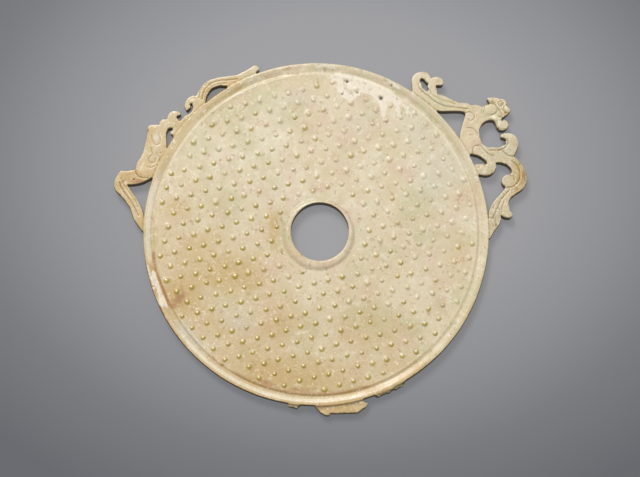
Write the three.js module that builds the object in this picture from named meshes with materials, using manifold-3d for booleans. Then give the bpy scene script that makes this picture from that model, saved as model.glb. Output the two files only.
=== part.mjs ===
// A jade bi disc: a flat ring with a grid of grain bosses, an openwork dragon on its right
// edge, a dragon whose head is broken off on its left edge, and the stubs of a third flange
// below. It is carved from one slab, so it is one solid. It lies flat, face up.
// Units are millimetres and +Z is up.
import * as THREE from "three";
import { mergeVertices } from "three/addons/utils/BufferGeometryUtils.js";
import Module from "manifold-3d";

const wasm = await Module();
wasm.setup();

// Where the disc's centre lies, with the origin under the middle of the whole outline.
const DISC_CENTRE = [-2.25, 2.5];

// The disc, seen in section. The back is worked the same way as the face, only shallower.
const DISC_RADIUS = 86;
const RIM_TOP = 5.6;
const RIM_ARRIS = 0.5;
const RIM_CREST_RADIUS = 84;
const GUTTER_OUTER_RADIUS = 81.6;
const GUTTER_INNER_RADIUS = 80.9;
const GUTTER_Z = 4.6;
const FIELD_Z = 4.95;
const FIELD_EDGE_RADIUS = 80.6;
const BACK_FIELD_Z = 0.8;
const DISC_SIDES = 88;
// How far the collar and the bosses run into the slab below its surface.
const SINK = 0.4;

// The bore and its collar stand a little right of the disc's centre.
const BORE_OFFSET = [1.85, 0];
const BORE_RADIUS = 14.3;
const COLLAR_FOOT_RADIUS = 20.2;
const COLLAR_CREST_RADIUS = 18.2;
const COLLAR_TOP = 6;
const COLLAR_ROUNDING = 0.6;
const COLLAR_SIDES = 48;

// The grain bosses stand on one six-sided grid that is turned a little.
const BOSS_PITCH = 7.42;
const BOSS_TURN = 14.1;
const BOSS_START = [-0.31, 1.19];
const BOSS_RADIUS = 1.3;
const BOSS_TOP = 5.75;
const BOSS_SIDES = 5;
const BOSS_FIELD_RADIUS = 78.3;
const BOSS_COLLAR_CLEARANCE = 21.6;

// The openwork is a little thinner than the rim, and the broken stubs are thinner again.
const FLANGE_BOTTOM = 0.4;
const FLANGE_TOP = 5.1;
const STUB_BOTTOM = 0.6;
const STUB_TOP = 4.1;
const CIRCLE_SIDES = 24;
const STEPS_PER_SPAN = 4;
const OUTLINE_TOLERANCE = 0.07;
const LINE_HALF_WIDTH = 0.35;
const LINE_DEPTH = 0.45;

// Each limb is [x, y, half width] along its middle line, measured from the disc's centre.
const RIGHT_LIMBS = {
  tail: [[53, 69.6, 3.2], [58.5, 66.6, 4], [63, 65, 4.3], [67, 64.1, 3.35], [71, 63.3, 2.5], [75, 62.9, 2.5]],
  tailInnerCurl: [[51.6, 70, 3], [50.7, 74, 2.5], [50.5, 77.6, 2.3], [52.2, 79.1, 2.2], [54.8, 79.1, 2.1],
    [56.6, 76.6, 1.6]],
  tailOuterCurl: [[58.6, 70, 2.4], [58.3, 74, 2.2], [59.4, 76.3, 2.3], [61.5, 76.3, 2.35], [62.6, 75.3, 1.4]],
  neck: [[75, 62.9, 2.5], [79, 60.3, 3.4], [83, 58.9, 4.1], [87, 60.5, 4.2]],
  head: [[86, 60.4, 4.1], [89.5, 60.6, 4.4], [92.3, 61.2, 4], [95.6, 61.6, 1.9]],
  ear: [[90.2, 65.6, 2.7], [88.6, 66.3, 2], [86.7, 67.4, 0.85]],
  brow: [[91, 64.4, 2.9], [93, 64.8, 2.8]],
  jaw: [[90.6, 58, 2.6], [91.4, 55.6, 1.8], [93.3, 54.1, 3.2]],
  shoulder: [[80, 59.6, 5], [79.2, 55, 5.3], [77.4, 50, 5.1], [78.2, 45, 6.4]],
  hindLeg: [[79.6, 43, 5.4], [84.2, 39, 3.8], [86.7, 35, 3.1], [86, 31.9, 3.6], [83, 31.4, 3.1],
    [80.4, 31.6, 2.6]],
  foreleg: [[84, 40.8, 4.2], [88, 39.2, 3.9], [92, 38.9, 4.1], [96.5, 41, 3.6]],
  scroll: [[96.5, 41, 3.2], [98.2, 43.6, 3], [97.5, 46.7, 3], [95.3, 48.2, 1.9], [93.7, 48.4, 1.35]],
  lowerLimb: [[92.4, 37.7, 3], [97, 35.9, 2.9], [100.2, 32.6, 3.1], [101.3, 28.5, 3.8], [100.6, 24.6, 4.1],
    [97.6, 21.4, 3.2], [94.3, 17.8, 2.6]],
  lowerCurl: [[99.5, 25.6, 4], [96.2, 25.5, 3.6]],
  leaf: [[94.3, 17.8, 2.6], [93.3, 14, 2.8], [93.6, 11, 2.9], [94.6, 9.2, 2.4], [95.8, 8.7, 2.1]],
  root: [[94.3, 17.8, 2.6], [90.8, 13.5, 2.9], [89, 9, 3.2], [88.9, 5.8, 3], [87.2, 1.5, 1.9], [86, -2.5, 1]],
};
const RIGHT_CUTS = {
  roundOpening: [[87, 52.9, 3.2], [86.4, 50.6, 4.5], [87.2, 48, 5.1]],
  tailSlot: [[53.2, 76.6, 0.85], [54.5, 74.6, 0.95], [55.7, 72.2, 0.75]],
  mouth: [[93.2, 56.5, 0.25], [95, 57.6, 0.5], [98.5, 58.4, 1.1]],
  scrollNotch: [[94.1, 46, 0.85], [92.9, 46.4, 0.75]],
  pawSlot: [[77.6, 38.6, 0.45], [80.2, 37.1, 1.1], [82.5, 36.2, 0.9], [84.5, 34.7, 0.75]],
  pawSlotFoot: [[80.2, 37.1, 1.1], [79.2, 34.4, 0.5]],
};
// Engraved lines that part one limb from the next, as [x, y] along each line.
const RIGHT_LINES = {
  tail: [[51.8, 73.4], [55.8, 69.5], [60, 66.2], [64.5, 64.1], [70, 63.1], [76, 62.6]],
  eye: [[94, 65.1], [92.9, 66.2], [91.8, 65.1], [92.9, 64], [94, 65.1]],
  haunch: [[79.6, 43.6], [82.3, 43.7], [84.2, 41.5], [86.4, 39.5], [89, 38.6]],
  scroll: [[86.6, 41.4], [91.5, 41.4], [94.4, 42.6], [96.2, 45.4]],
  lowerCurl: [[97.8, 36], [100.5, 33.6], [101.7, 29.8], [101.2, 26], [98.6, 23.2], [95.2, 22.4]],
  root: [[96.4, 21.1], [93, 17.4], [91, 13.9], [89.2, 9.8], [87.7, 6.8]],
};
const LEFT_LIMBS = {
  tail: [[-30.6, 82.9, 1.9], [-34.5, 80, 2.3], [-39.5, 77.5, 2.5], [-44.5, 76.5, 2.75], [-49.3, 76.1, 2.3],
    [-53.9, 74.3, 2.4], [-57, 70.2, 2.5], [-58.3, 66, 2.6]],
  upperCurl: [[-59.5, 64, 2.8], [-60.2, 66, 2.6], [-61.3, 66.9, 2.4], [-63.2, 65.8, 2.3], [-64.3, 63.6, 1.8],
    [-64.5, 62.3, 1.2]],
  middleCurl: [[-70.5, 54.5, 2.8], [-72.3, 56.8, 2.5], [-71.6, 58.6, 2.6], [-70.2, 59.8, 1.5],
    [-69.1, 59.7, 1.15]],
  lowerLobe: [[-73, 52.5, 3], [-76, 54.6, 2.6]],
  breakCorner: [[-82.6, 52.3, 2], [-80, 51.9, 2.4]],
  torso: [[-79.7, 49.5, 4.8], [-80.1, 44, 5.5], [-82, 38, 5.1], [-84.6, 32.6, 5.4]],
  leg: [[-84.4, 30.6, 4.4], [-88.4, 28.2, 4], [-92.5, 27.3, 3.8], [-96, 27.4, 3.5]],
  paw: [[-96.9, 29.4, 1.6], [-97.2, 25.5, 3.3]],
  lowerLimb: [[-97.2, 25.5, 3.3], [-97.3, 22.6, 3.3], [-95.1, 19.8, 2.9], [-90.6, 13.5, 2.7],
    [-88.6, 8.2, 2.75], [-87.5, 4.5, 1.9], [-86, 1, 0.9]],
};
const LEFT_CUTS = {
  upperSlot: [[-62.9, 64.4, 0.35], [-62.4, 63.2, 0.5], [-63.4, 61.3, 0.8], [-65.2, 59.9, 0.8]],
  middleSlot: [[-69.3, 57.9, 0.5], [-67, 58.6, 0.55]],
  torsoSlot: [[-74.5, 42.3, 0.3], [-73.6, 46, 1.3], [-73.2, 47.3, 1.75]],
  torsoSlotHook: [[-73.6, 47.5, 1.4], [-74, 49.5, 0.95], [-73.6, 51.1, 0.8], [-72.6, 51.7, 0.6]],
};
const LEFT_LINES = {
  tail: [[-57.3, 67.4], [-56.5, 71], [-54, 74.6], [-50, 76.6], [-45, 77.2], [-39.5, 77.8]],
  flank: [[-83, 51.5], [-82.9, 46], [-83.3, 41], [-84.8, 36.5]],
  thigh: [[-90.3, 31.4], [-89.5, 29.2], [-87.4, 27.6], [-84, 27.4]],
  lowerLimb: [[-98.2, 25.4], [-97, 22.2], [-93.6, 17.6], [-90.8, 13.2], [-88.4, 8.6]],
};
// A narrow band joins the left curls along the rim, from one angle to another in degrees.
const LEFT_BAND = { radius: 86.2, halfWidth: 2.1, from: 132, to: 146 };

// What is left of the flange below: broken edges, so straight-sided outlines.
const STUBS = {
  leftNub: [[-14.2, -83], [-13.8, -86.3], [-12.4, -87], [-9.3, -87.5], [-7.8, -86], [-7.5, -83]],
  tongue: [[-2, -84], [-0.7, -86.4], [2, -89.5], [4.2, -91], [6.5, -91], [7.2, -90], [20.5, -89.7],
    [22.3, -88.3], [24.5, -87], [26, -84.8], [23.6, -83.6], [22, -80]],
  rightNub: [[28, -79.5], [28.8, -81.2], [30.8, -81.9], [32.4, -80.6], [34.2, -79.2], [33, -77]],
};

function solidFromGeometry(geometry) {
  const bare = geometry.index ? geometry.clone() : geometry;
  bare.deleteAttribute("normal");
  bare.deleteAttribute("uv");
  const merged = mergeVertices(bare, 1e-5);
  return new wasm.Manifold(new wasm.Mesh({
    numProp: 3,
    vertProperties: new Float32Array(merged.attributes.position.array),
    triVerts: new Uint32Array(merged.index.array),
  }));
}

function geometryFromSolid(solid) {
  const mesh = solid.getMesh();
  const geometry = new THREE.BufferGeometry();
  geometry.setAttribute("position", new THREE.BufferAttribute(mesh.vertProperties, 3));
  geometry.setIndex(new THREE.BufferAttribute(mesh.triVerts, 1));
  geometry.computeVertexNormals();
  return geometry;
}

// A turned solid about Z through a centre, from a section of [radius, z] points.
function turned(section, sides, [x, y] = [0, 0]) {
  const profile = section.map(([radius, z]) => new THREE.Vector2(radius, z));
  const geometry = new THREE.LatheGeometry(profile, sides);
  geometry.rotateX(Math.PI / 2);
  geometry.translate(x, y, 0);
  return solidFromGeometry(geometry);
}

// The convex outline round two circles, as two arcs joined by their outer tangents.
function outlineRoundCircles([x0, y0, r0], [x1, y1, r1]) {
  const heading = Math.atan2(y1 - y0, x1 - x0);
  const lean = Math.acos(THREE.MathUtils.clamp((r0 - r1) / Math.hypot(x1 - x0, y1 - y0), -1, 1));
  const outline = [];
  const arc = (x, y, r, from, to) => {
    const steps = Math.max(2, Math.round((CIRCLE_SIDES * (to - from)) / (2 * Math.PI)));
    for (let i = 0; i <= steps; i += 1) {
      const angle = from + ((to - from) * i) / steps;
      outline.push(new THREE.Vector2(x + r * Math.cos(angle), y + r * Math.sin(angle)));
    }
  };
  arc(x1, y1, r1, heading - lean, heading + lean);
  arc(x0, y0, r0, heading + lean, heading + 2 * Math.PI - lean);
  return outline;
}

// A flat plate from z = bottom to z = top, with an outline and perhaps some openings.
function plate(outline, openings, bottom, top) {
  const shape = new THREE.Shape(outline);
  shape.holes = openings.map((opening) => new THREE.Path(opening));
  const geometry = new THREE.ExtrudeGeometry(shape, { depth: top - bottom, bevelEnabled: false });
  geometry.translate(0, 0, bottom);
  return solidFromGeometry(geometry);
}

// A limb swept along a smooth line through its named points, as a row of rounded plates.
function limb(points) {
  const curve = new THREE.CatmullRomCurve3(points.map((point) => new THREE.Vector3(...point)));
  const line = curve.getPoints((points.length - 1) * STEPS_PER_SPAN).map((point) => point.toArray());
  const plates = line.slice(1).map((end, i) => plate(outlineRoundCircles(line[i], end), [], 0, 1));
  return wasm.Manifold.union(plates);
}

function distanceToSegment(point, from, to) {
  const along = to.clone().sub(from);
  const share = THREE.MathUtils.clamp(point.clone().sub(from).dot(along) / (along.lengthSq() || 1), 0, 1);
  return point.distanceTo(from.clone().addScaledVector(along, share));
}

// A line with only the points that keep its shape within the tolerance.
function thinned(line) {
  const distances = line.map((point) => distanceToSegment(point, line[0], line.at(-1)));
  const farthest = distances.indexOf(Math.max(...distances));
  if (distances[farthest] < OUTLINE_TOLERANCE) return [line[0], line.at(-1)];
  return [...thinned(line.slice(0, farthest + 1)).slice(0, -1), ...thinned(line.slice(farthest))];
}

// The loops round the flat top of limbs that were joined: the outline first, then openings.
function topLoops(solid) {
  const { vertProperties, triVerts } = solid.getMesh();
  const onTop = (corner) => vertProperties[3 * corner + 2] > 0.5;
  const topEdges = new Map();
  for (let i = 0; i < triVerts.length; i += 3) {
    const [a, b, c] = triVerts.slice(i, i + 3);
    if (onTop(a) && onTop(b) && onTop(c)) {
      [[a, b], [b, c], [c, a]].forEach((edge) => topEdges.set(edge.join(" "), edge));
    }
  }
  const nextCorner = new Map([...topEdges.values()].filter(([a, b]) => !topEdges.has(`${b} ${a}`)));
  const loops = [];
  while (nextCorner.size > 0) {
    const loop = [];
    let [corner] = nextCorner.keys();
    while (nextCorner.has(corner)) {
      loop.push(new THREE.Vector2(vertProperties[3 * corner], vertProperties[3 * corner + 1]));
      const next = nextCorner.get(corner);
      nextCorner.delete(corner);
      corner = next;
    }
    loops.push(thinned([...loop, loop[0]]).slice(0, -1));
  }
  return loops.sort((a, b) => THREE.ShapeUtils.area(b) - THREE.ShapeUtils.area(a));
}

function engravedLine(points) {
  const [outline, ...islands] = topLoops(limb(points.map(([x, y]) => [x, y, LINE_HALF_WIDTH])));
  return plate(outline, islands, FLANGE_TOP - LINE_DEPTH, FLANGE_TOP + 1);
}

// Limbs joined, sawn through where the cuts are, and engraved on the face.
function flange(limbs, cuts, lines) {
  const body = wasm.Manifold.union(Object.values(limbs).map(limb));
  const [outline, ...openings] = topLoops(body.subtract(wasm.Manifold.union(Object.values(cuts).map(limb))));
  const engraving = wasm.Manifold.union(Object.values(lines).map(engravedLine));
  return plate(outline, openings, FLANGE_BOTTOM, FLANGE_TOP).subtract(engraving);
}

function bandPoints({ radius, halfWidth, from, to }) {
  return [0, 0.25, 0.5, 0.75, 1].map((share) => {
    const angle = THREE.MathUtils.degToRad(THREE.MathUtils.lerp(from, to, share));
    return [radius * Math.cos(angle), radius * Math.sin(angle), halfWidth];
  });
}

function stub(outline) {
  return plate(outline.map(([x, y]) => new THREE.Vector2(x, y)), [], STUB_BOTTOM, STUB_TOP);
}

function disc() {
  return turned([
    [0, BACK_FIELD_Z],
    [GUTTER_INNER_RADIUS, BACK_FIELD_Z],
    [RIM_CREST_RADIUS - 1, 0],
    [DISC_RADIUS - RIM_ARRIS, 0],
    [DISC_RADIUS, RIM_ARRIS],
    [DISC_RADIUS, RIM_TOP - RIM_ARRIS],
    [DISC_RADIUS - RIM_ARRIS, RIM_TOP],
    [RIM_CREST_RADIUS, RIM_TOP],
    [GUTTER_OUTER_RADIUS, GUTTER_Z],
    [GUTTER_INNER_RADIUS, GUTTER_Z],
    [FIELD_EDGE_RADIUS, FIELD_Z],
    [0, FIELD_Z],
  ], DISC_SIDES);
}

function collar() {
  return turned([
    [0, 0],
    [COLLAR_CREST_RADIUS, 0],
    [COLLAR_FOOT_RADIUS, BACK_FIELD_Z + SINK],
    [COLLAR_FOOT_RADIUS, FIELD_Z - SINK / 2],
    [COLLAR_CREST_RADIUS + COLLAR_ROUNDING, COLLAR_TOP - COLLAR_ROUNDING / 2],
    [COLLAR_CREST_RADIUS - COLLAR_ROUNDING, COLLAR_TOP],
    [0, COLLAR_TOP],
  ], COLLAR_SIDES, BORE_OFFSET);
}

function bore() {
  return turned([
    [0, -1],
    [BORE_RADIUS, -1],
    [BORE_RADIUS, COLLAR_TOP + 1],
    [0, COLLAR_TOP + 1],
  ], COLLAR_SIDES, BORE_OFFSET);
}

// All the bosses as one set of low cones: nodes of the grid that fall on the field.
function bosses() {
  const turn = THREE.MathUtils.degToRad(BOSS_TURN);
  const along = [BOSS_PITCH * Math.cos(turn), BOSS_PITCH * Math.sin(turn)];
  const across = [BOSS_PITCH * Math.cos(turn + Math.PI / 3), BOSS_PITCH * Math.sin(turn + Math.PI / 3)];
  const reach = Math.ceil(DISC_RADIUS / BOSS_PITCH) + 2;
  const height = BOSS_TOP - FIELD_Z + SINK;
  const foot = (BOSS_RADIUS * height) / (BOSS_TOP - FIELD_Z);
  const cones = [];
  for (let i = -reach; i <= reach; i += 1) {
    for (let j = -reach; j <= reach; j += 1) {
      const x = BOSS_START[0] + i * along[0] + j * across[0];
      const y = BOSS_START[1] + i * along[1] + j * across[1];
      const onField = Math.hypot(x, y) < BOSS_FIELD_RADIUS;
      const clearOfCollar = Math.hypot(x - BORE_OFFSET[0], y - BORE_OFFSET[1]) > BOSS_COLLAR_CLEARANCE;
      if (onField && clearOfCollar) {
        const cone = new THREE.ConeGeometry(foot, height, BOSS_SIDES);
        cone.rotateX(Math.PI / 2);
        cone.rotateZ(i + j);
        cone.translate(x, y, BOSS_TOP - height / 2);
        cones.push(solidFromGeometry(cone));
      }
    }
  }
  return wasm.Manifold.union(cones);
}

const slab = wasm.Manifold.union([
  flange(RIGHT_LIMBS, RIGHT_CUTS, RIGHT_LINES),
  flange({ ...LEFT_LIMBS, band: bandPoints(LEFT_BAND) }, LEFT_CUTS, LEFT_LINES),
  ...Object.values(STUBS).map(stub),
  disc(),
  collar(),
  bosses(),
]).subtract(bore());

const jade = new THREE.MeshStandardMaterial({ color: 0xcfc4a4, roughness: 0.42, metalness: 0 });
const bi = new THREE.Mesh(geometryFromSolid(slab), jade);
bi.name = "jade_bi";
bi.position.set(DISC_CENTRE[0], DISC_CENTRE[1], 0);

const root = new THREE.Group();
root.add(bi);

export default root;
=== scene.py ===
# %% [markdown]
# # A jade bi disc with openwork dragons
# The object is a flat ring of nephrite jade, carved in China more than two thousand years
# ago. Its face carries a collar round the bore, some 380 grain bosses and a raised rim, and
# openwork dragons stood on its edge. One dragon is whole, one has lost its head, and of the
# third only stubs are left. The whole thing is one stone, so it is one piece here as well.
#
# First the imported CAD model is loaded. It is the frame: it fixes the size and the place.

# %% Load the frame
import math

import bpy
import numpy as np
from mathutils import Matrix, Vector, geometry, kdtree


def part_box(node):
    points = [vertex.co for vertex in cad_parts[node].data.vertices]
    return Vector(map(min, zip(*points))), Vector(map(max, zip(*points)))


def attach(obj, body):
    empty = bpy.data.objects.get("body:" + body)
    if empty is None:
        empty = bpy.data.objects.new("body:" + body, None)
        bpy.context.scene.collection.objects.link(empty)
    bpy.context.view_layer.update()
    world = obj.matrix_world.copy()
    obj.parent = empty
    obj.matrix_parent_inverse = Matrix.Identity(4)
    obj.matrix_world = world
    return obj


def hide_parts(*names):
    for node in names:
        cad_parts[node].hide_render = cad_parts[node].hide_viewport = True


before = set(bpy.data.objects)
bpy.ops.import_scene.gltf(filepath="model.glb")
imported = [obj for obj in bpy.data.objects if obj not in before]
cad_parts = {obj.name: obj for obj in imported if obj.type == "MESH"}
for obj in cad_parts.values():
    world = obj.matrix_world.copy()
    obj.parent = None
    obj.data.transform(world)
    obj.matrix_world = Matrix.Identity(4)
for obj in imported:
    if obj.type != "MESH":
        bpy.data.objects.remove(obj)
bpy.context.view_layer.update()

TO_MM = 1000  # millimetres in a metre

# %% [markdown]
# ## Sizes
# A maker would rule the slab from its centre, so all the measures below are millimetres from
# the disc's centre, with +X to the right and +Y to the top. They are turned into metres, and
# moved to the disc's place in the frame, only when the mesh is made.

# %% Measures of the disc
MM = 0.001
DISC_RADIUS = 86
DISC_CENTRE = (-2.25, TO_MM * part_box("jade_bi")[1][1] - DISC_RADIUS)
BORE_CENTRE = (1.85, 0)  # the bore was drilled a little to the right of the middle
BORE_RADIUS = 14.3
RIM_FOOT = 79.8  # where the field of bosses meets the rim
COLLAR_FOOT = 20.2  # and where it meets the collar, from the collar's own centre
ARRIS, CARVED_ARRIS, COLLAR_ARRIS, BACK_ARRIS = 0.5, 0.34, 0.6, 0.4  # radii of rounded edges
TOP_Z, FIELD_Z, BACK_FIELD_Z = 6, 4.95, 0.8
FLANGE_TOP, FLANGE_BOTTOM = 5.1, 0.4
STUB_TOP, STUB_BOTTOM = 4.1, 0.6
BOSS_PITCH, BOSS_TURN, BOSS_START = 7.42, 14.1, (-0.31, 1.19)
print("disc centre in mm:", DISC_CENTRE)

# %% [markdown]
# ## The openwork outlines
# A carver draws each limb of a dragon as a bold stroke, then pierces and saws the slab along
# the drawing. The drawing is kept the same way here: each limb is a line of circles, as
# [x, y, half width], and each opening that a saw or drill made is another such line.

# %% Tail and head of the right dragon
RIGHT_LIMBS = [
    # tail, its inner and its outer curl
    [[53, 69.6, 3.2], [58.5, 66.6, 4], [63, 65, 4.3], [67, 64.1, 3.35], [71, 63.3, 2.5],
     [75, 62.9, 2.5]],
    [[51.6, 70, 3], [50.7, 74, 2.5], [50.5, 77.6, 2.3], [52.2, 79.1, 2.2], [54.8, 79.1, 2.1],
     [56.6, 76.6, 1.6]],
    [[58.6, 70, 2.4], [58.3, 74, 2.2], [59.4, 76.3, 2.3], [61.5, 76.3, 2.35], [62.6, 75.3, 1.4]],
    # neck, head, ear, brow and jaw
    [[75, 62.9, 2.5], [79, 60.3, 3.4], [83, 58.9, 4.1], [87, 60.5, 4.2]],
    [[86, 60.4, 4.1], [89.5, 60.6, 4.4], [92.3, 61.2, 4], [95.6, 61.6, 1.9]],
    [[90.2, 65.6, 2.7], [88.6, 66.3, 2], [86.7, 67.4, 0.85]], [[91, 64.4, 2.9], [93, 64.8, 2.8]],
    [[90.6, 58, 2.6], [91.4, 55.6, 1.8], [93.3, 54.1, 3.2]],
]
print(len(RIGHT_LIMBS), "strokes in the tail and head")

# %% Body and lower limb of the right dragon
RIGHT_LIMBS += [
    # shoulder, hind leg, foreleg and its scroll
    [[80, 59.6, 5], [79.2, 55, 5.3], [77.4, 50, 5.1], [78.2, 45, 6.4]],
    [[79.6, 43, 5.4], [84.2, 39, 3.8], [86.7, 35, 3.1], [86, 31.9, 3.6], [83, 31.4, 3.1],
     [80.4, 31.6, 2.6]],
    [[84, 40.8, 4.2], [88, 39.2, 3.9], [92, 38.9, 4.1], [96.5, 41, 3.6]],
    [[96.5, 41, 3.2], [98.2, 43.6, 3], [97.5, 46.7, 3], [95.3, 48.2, 1.9], [93.7, 48.4, 1.35]],
    # lower limb with its curl, the leaf and the root
    [[92.4, 37.7, 3], [97, 35.9, 2.9], [100.2, 32.6, 3.1], [101.3, 28.5, 3.8], [100.6, 24.6, 4.1],
     [97.6, 21.4, 3.2], [94.3, 17.8, 2.6]],
    [[99.5, 25.6, 4], [96.2, 25.5, 3.6]],
    [[94.3, 17.8, 2.6], [93.3, 14, 2.8], [93.6, 11, 2.9], [94.6, 9.2, 2.4], [95.8, 8.7, 2.1]],
    [[94.3, 17.8, 2.6], [90.8, 13.5, 2.9], [89, 9, 3.2], [88.9, 5.8, 3], [87.2, 1.5, 1.9],
     [86, -2.5, 1]],
]
print(len(RIGHT_LIMBS), "strokes in the whole dragon")

# %% Openings in the right dragon
RIGHT_CUTS = [
    [[87, 52.9, 3.2], [86.4, 50.6, 4.5], [87.2, 48, 5.1]],
    [[53.2, 76.6, 0.85], [54.5, 74.6, 0.95], [55.7, 72.2, 0.75]],
    [[93.2, 56.5, 0.25], [95, 57.6, 0.5], [98.5, 58.4, 1.1]],
    [[94.1, 46, 0.85], [92.9, 46.4, 0.75]],
    [[77.6, 38.6, 0.45], [80.2, 37.1, 1.1], [82.5, 36.2, 0.9], [84.5, 34.7, 0.75]],
    [[80.2, 37.1, 1.1], [79.2, 34.4, 0.5]],
]
print(len(RIGHT_CUTS), "saw and drill cuts")

# %% Limbs of the left dragon
LEFT_LIMBS = [
    # tail, and the upper and middle curls
    [[-30.6, 82.9, 1.9], [-34.5, 80, 2.3], [-39.5, 77.5, 2.5], [-44.5, 76.5, 2.75],
     [-49.3, 76.1, 2.3], [-53.9, 74.3, 2.4], [-57, 70.2, 2.5], [-58.3, 66, 2.6]],
    [[-59.5, 64, 2.8], [-60.2, 66, 2.6], [-61.3, 66.9, 2.4], [-63.2, 65.8, 2.3],
     [-64.3, 63.6, 1.8], [-64.5, 62.3, 1.2]],
    [[-70.5, 54.5, 2.8], [-72.3, 56.8, 2.5], [-71.6, 58.6, 2.6], [-70.2, 59.8, 1.5],
     [-69.1, 59.7, 1.15]],
    # lobe under the curls, corner of the break, torso
    [[-73, 52.5, 3], [-76, 54.6, 2.6]], [[-82.6, 52.3, 2], [-80, 51.9, 2.4]],
    [[-79.7, 49.5, 4.8], [-80.1, 44, 5.5], [-82, 38, 5.1], [-84.6, 32.6, 5.4]],
    # leg, paw and lower limb
    [[-84.4, 30.6, 4.4], [-88.4, 28.2, 4], [-92.5, 27.3, 3.8], [-96, 27.4, 3.5]],
    [[-96.9, 29.4, 1.6], [-97.2, 25.5, 3.3]],
    [[-97.2, 25.5, 3.3], [-97.3, 22.6, 3.3], [-95.1, 19.8, 2.9], [-90.6, 13.5, 2.7],
     [-88.6, 8.2, 2.75], [-87.5, 4.5, 1.9], [-86, 1, 0.9]],
]
print(len(LEFT_LIMBS), "strokes in what is left of the left dragon")

# %% Openings in the left dragon, and its band
LEFT_CUTS = [
    [[-62.9, 64.4, 0.35], [-62.4, 63.2, 0.5], [-63.4, 61.3, 0.8], [-65.2, 59.9, 0.8]],
    [[-69.3, 57.9, 0.5], [-67, 58.6, 0.55]],
    [[-74.5, 42.3, 0.3], [-73.6, 46, 1.3], [-73.2, 47.3, 1.75]],
    [[-73.6, 47.5, 1.4], [-74, 49.5, 0.95], [-73.6, 51.1, 0.8], [-72.6, 51.7, 0.6]],
]
# A narrow band joins the left curls along the rim.
BAND_RADIUS, BAND_HALF_WIDTH = 86.2, 2.1
band_angles = [math.radians(degrees) for degrees in (132, 135.5, 139, 142.5, 146)]
LEFT_LIMBS.append([[BAND_RADIUS * math.cos(angle), BAND_RADIUS * math.sin(angle), BAND_HALF_WIDTH]
                   for angle in band_angles])
print(len(LEFT_CUTS), "cuts, and a band at", BAND_RADIUS, "mm")

# %% Stubs of the flange below
# What is left where the third flange broke off: corners of broken stone, so straight sides.
STUBS = [
    [[-14.2, -83], [-13.8, -86.3], [-12.4, -87], [-9.3, -87.5], [-7.8, -86], [-7.5, -83]],
    [[-2, -84], [-0.7, -86.4], [2, -89.5], [4.2, -91], [6.5, -91], [7.2, -90], [20.5, -89.7],
     [22.3, -88.3], [24.5, -87], [26, -84.8], [23.6, -83.6], [22, -80]],
    [[28, -79.5], [28.8, -81.2], [30.8, -81.9], [32.4, -80.9], [34.2, -80.3], [36.4, -79.7],
     [37.6, -78.5], [39.8, -78], [42.4, -76.3], [43.8, -74.6], [42, -72.5], [33, -77]],
]
print(len(STUBS), "stubs")

# %% [markdown]
# ## From strokes to one outline
# Blender could join hundreds of small discs with booleans, but the seams would show. A
# distance field does it better: a fine grid holds, at each place, how far the nearest edge
# is, less than zero in the stone. Joining two shapes is then taking the smaller number, and
# a soft minimum leaves the small fillet that a carver's abrasive leaves in each corner.

# %% Smooth lines through named points
def smooth_line(points, steps=6):
    """A centripetal Catmull-Rom line through the points, with this many steps in each span."""
    points = np.array(points, float)
    ends = [2 * points[0] - points[1], 2 * points[-1] - points[-2]]
    chain = np.vstack([ends[0], points, ends[1]])
    share = (np.arange(steps) / steps)[:, None]
    line = []
    for p0, p1, p2, p3 in zip(chain, chain[1:], chain[2:], chain[3:]):
        d0, d1, d2 = (math.sqrt(np.linalg.norm(b - a)) for a, b in ((p0, p1), (p1, p2), (p2, p3)))
        t1 = ((p1 - p0) / d0 - (p2 - p0) / (d0 + d1) + (p2 - p1) / d1) * d1
        t2 = ((p2 - p1) / d1 - (p3 - p1) / (d1 + d2) + (p3 - p2) / d2) * d1
        line.append(p1 + t1 * share + (3 * (p2 - p1) - 2 * t1 - t2) * share**2
                    + (2 * (p1 - p2) + t1 + t2) * share**3)
    return np.vstack(line + [points[-1:]])


def segment_share(x, y, a, b):
    """How far along the segment from a to b the nearest point is, and the distance to it."""
    run = b[:2] - a[:2]
    share = ((x - a[0]) * run[0] + (y - a[1]) * run[1]) / np.maximum((run**2).sum(0), 1e-9)
    share = np.clip(share, 0, 1)
    return share, np.hypot(x - a[0] - share * run[0], y - a[1] - share * run[1])


def line_distance(x, y, line):
    """Distance from each place to a line of points."""
    return np.min([segment_share(x, y, a, b)[1] for a, b in zip(line, line[1:])], axis=0)


print("a line through 3 points has", len(smooth_line([[0, 0], [1, 0], [2, 1]])), "points")

# %% Soft joins and even noise
def soft_min(a, b, reach):
    """The smaller of two fields, with a fillet about as wide as reach where they meet."""
    share = np.clip(0.5 + 0.5 * (b - a) / reach, 0, 1)
    return b + (a - b) * share - reach * share * (1 - share)


def smooth_step(value, start, end):
    share = np.clip((value - start) / (end - start), 0, 1)
    return share * share * (3 - 2 * share)


def between(value, start, full, fading, end):
    """1 from full to fading, and none before start or after end."""
    return smooth_step(value, start, full) * (1 - smooth_step(value, fading, end))


def bell(value, middle, width):
    """1 at the middle, and next to none at twice the width from it."""
    return np.exp(-(((value - middle) / width) ** 2))


def noise(x, y, grain, seed):
    """Soft noise from -1 to 1 whose lumps are about as wide as grain."""
    lattice = np.random.RandomState(seed).uniform(-1, 1, (256, 256))
    column, row = np.floor(x / grain).astype(int), np.floor(y / grain).astype(int)
    across, up = smooth_step(x / grain - column, 0, 1), smooth_step(y / grain - row, 0, 1)
    low, high = (lattice[(row + k) % 256, column % 256] * (1 - across)
                 + lattice[(row + k) % 256, (column + 1) % 256] * across for k in (0, 1))
    return low * (1 - up) + high * up


print("a join with a reach of 0.5 mm is filled by", -soft_min(0, 0, 0.5), "mm")

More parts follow.
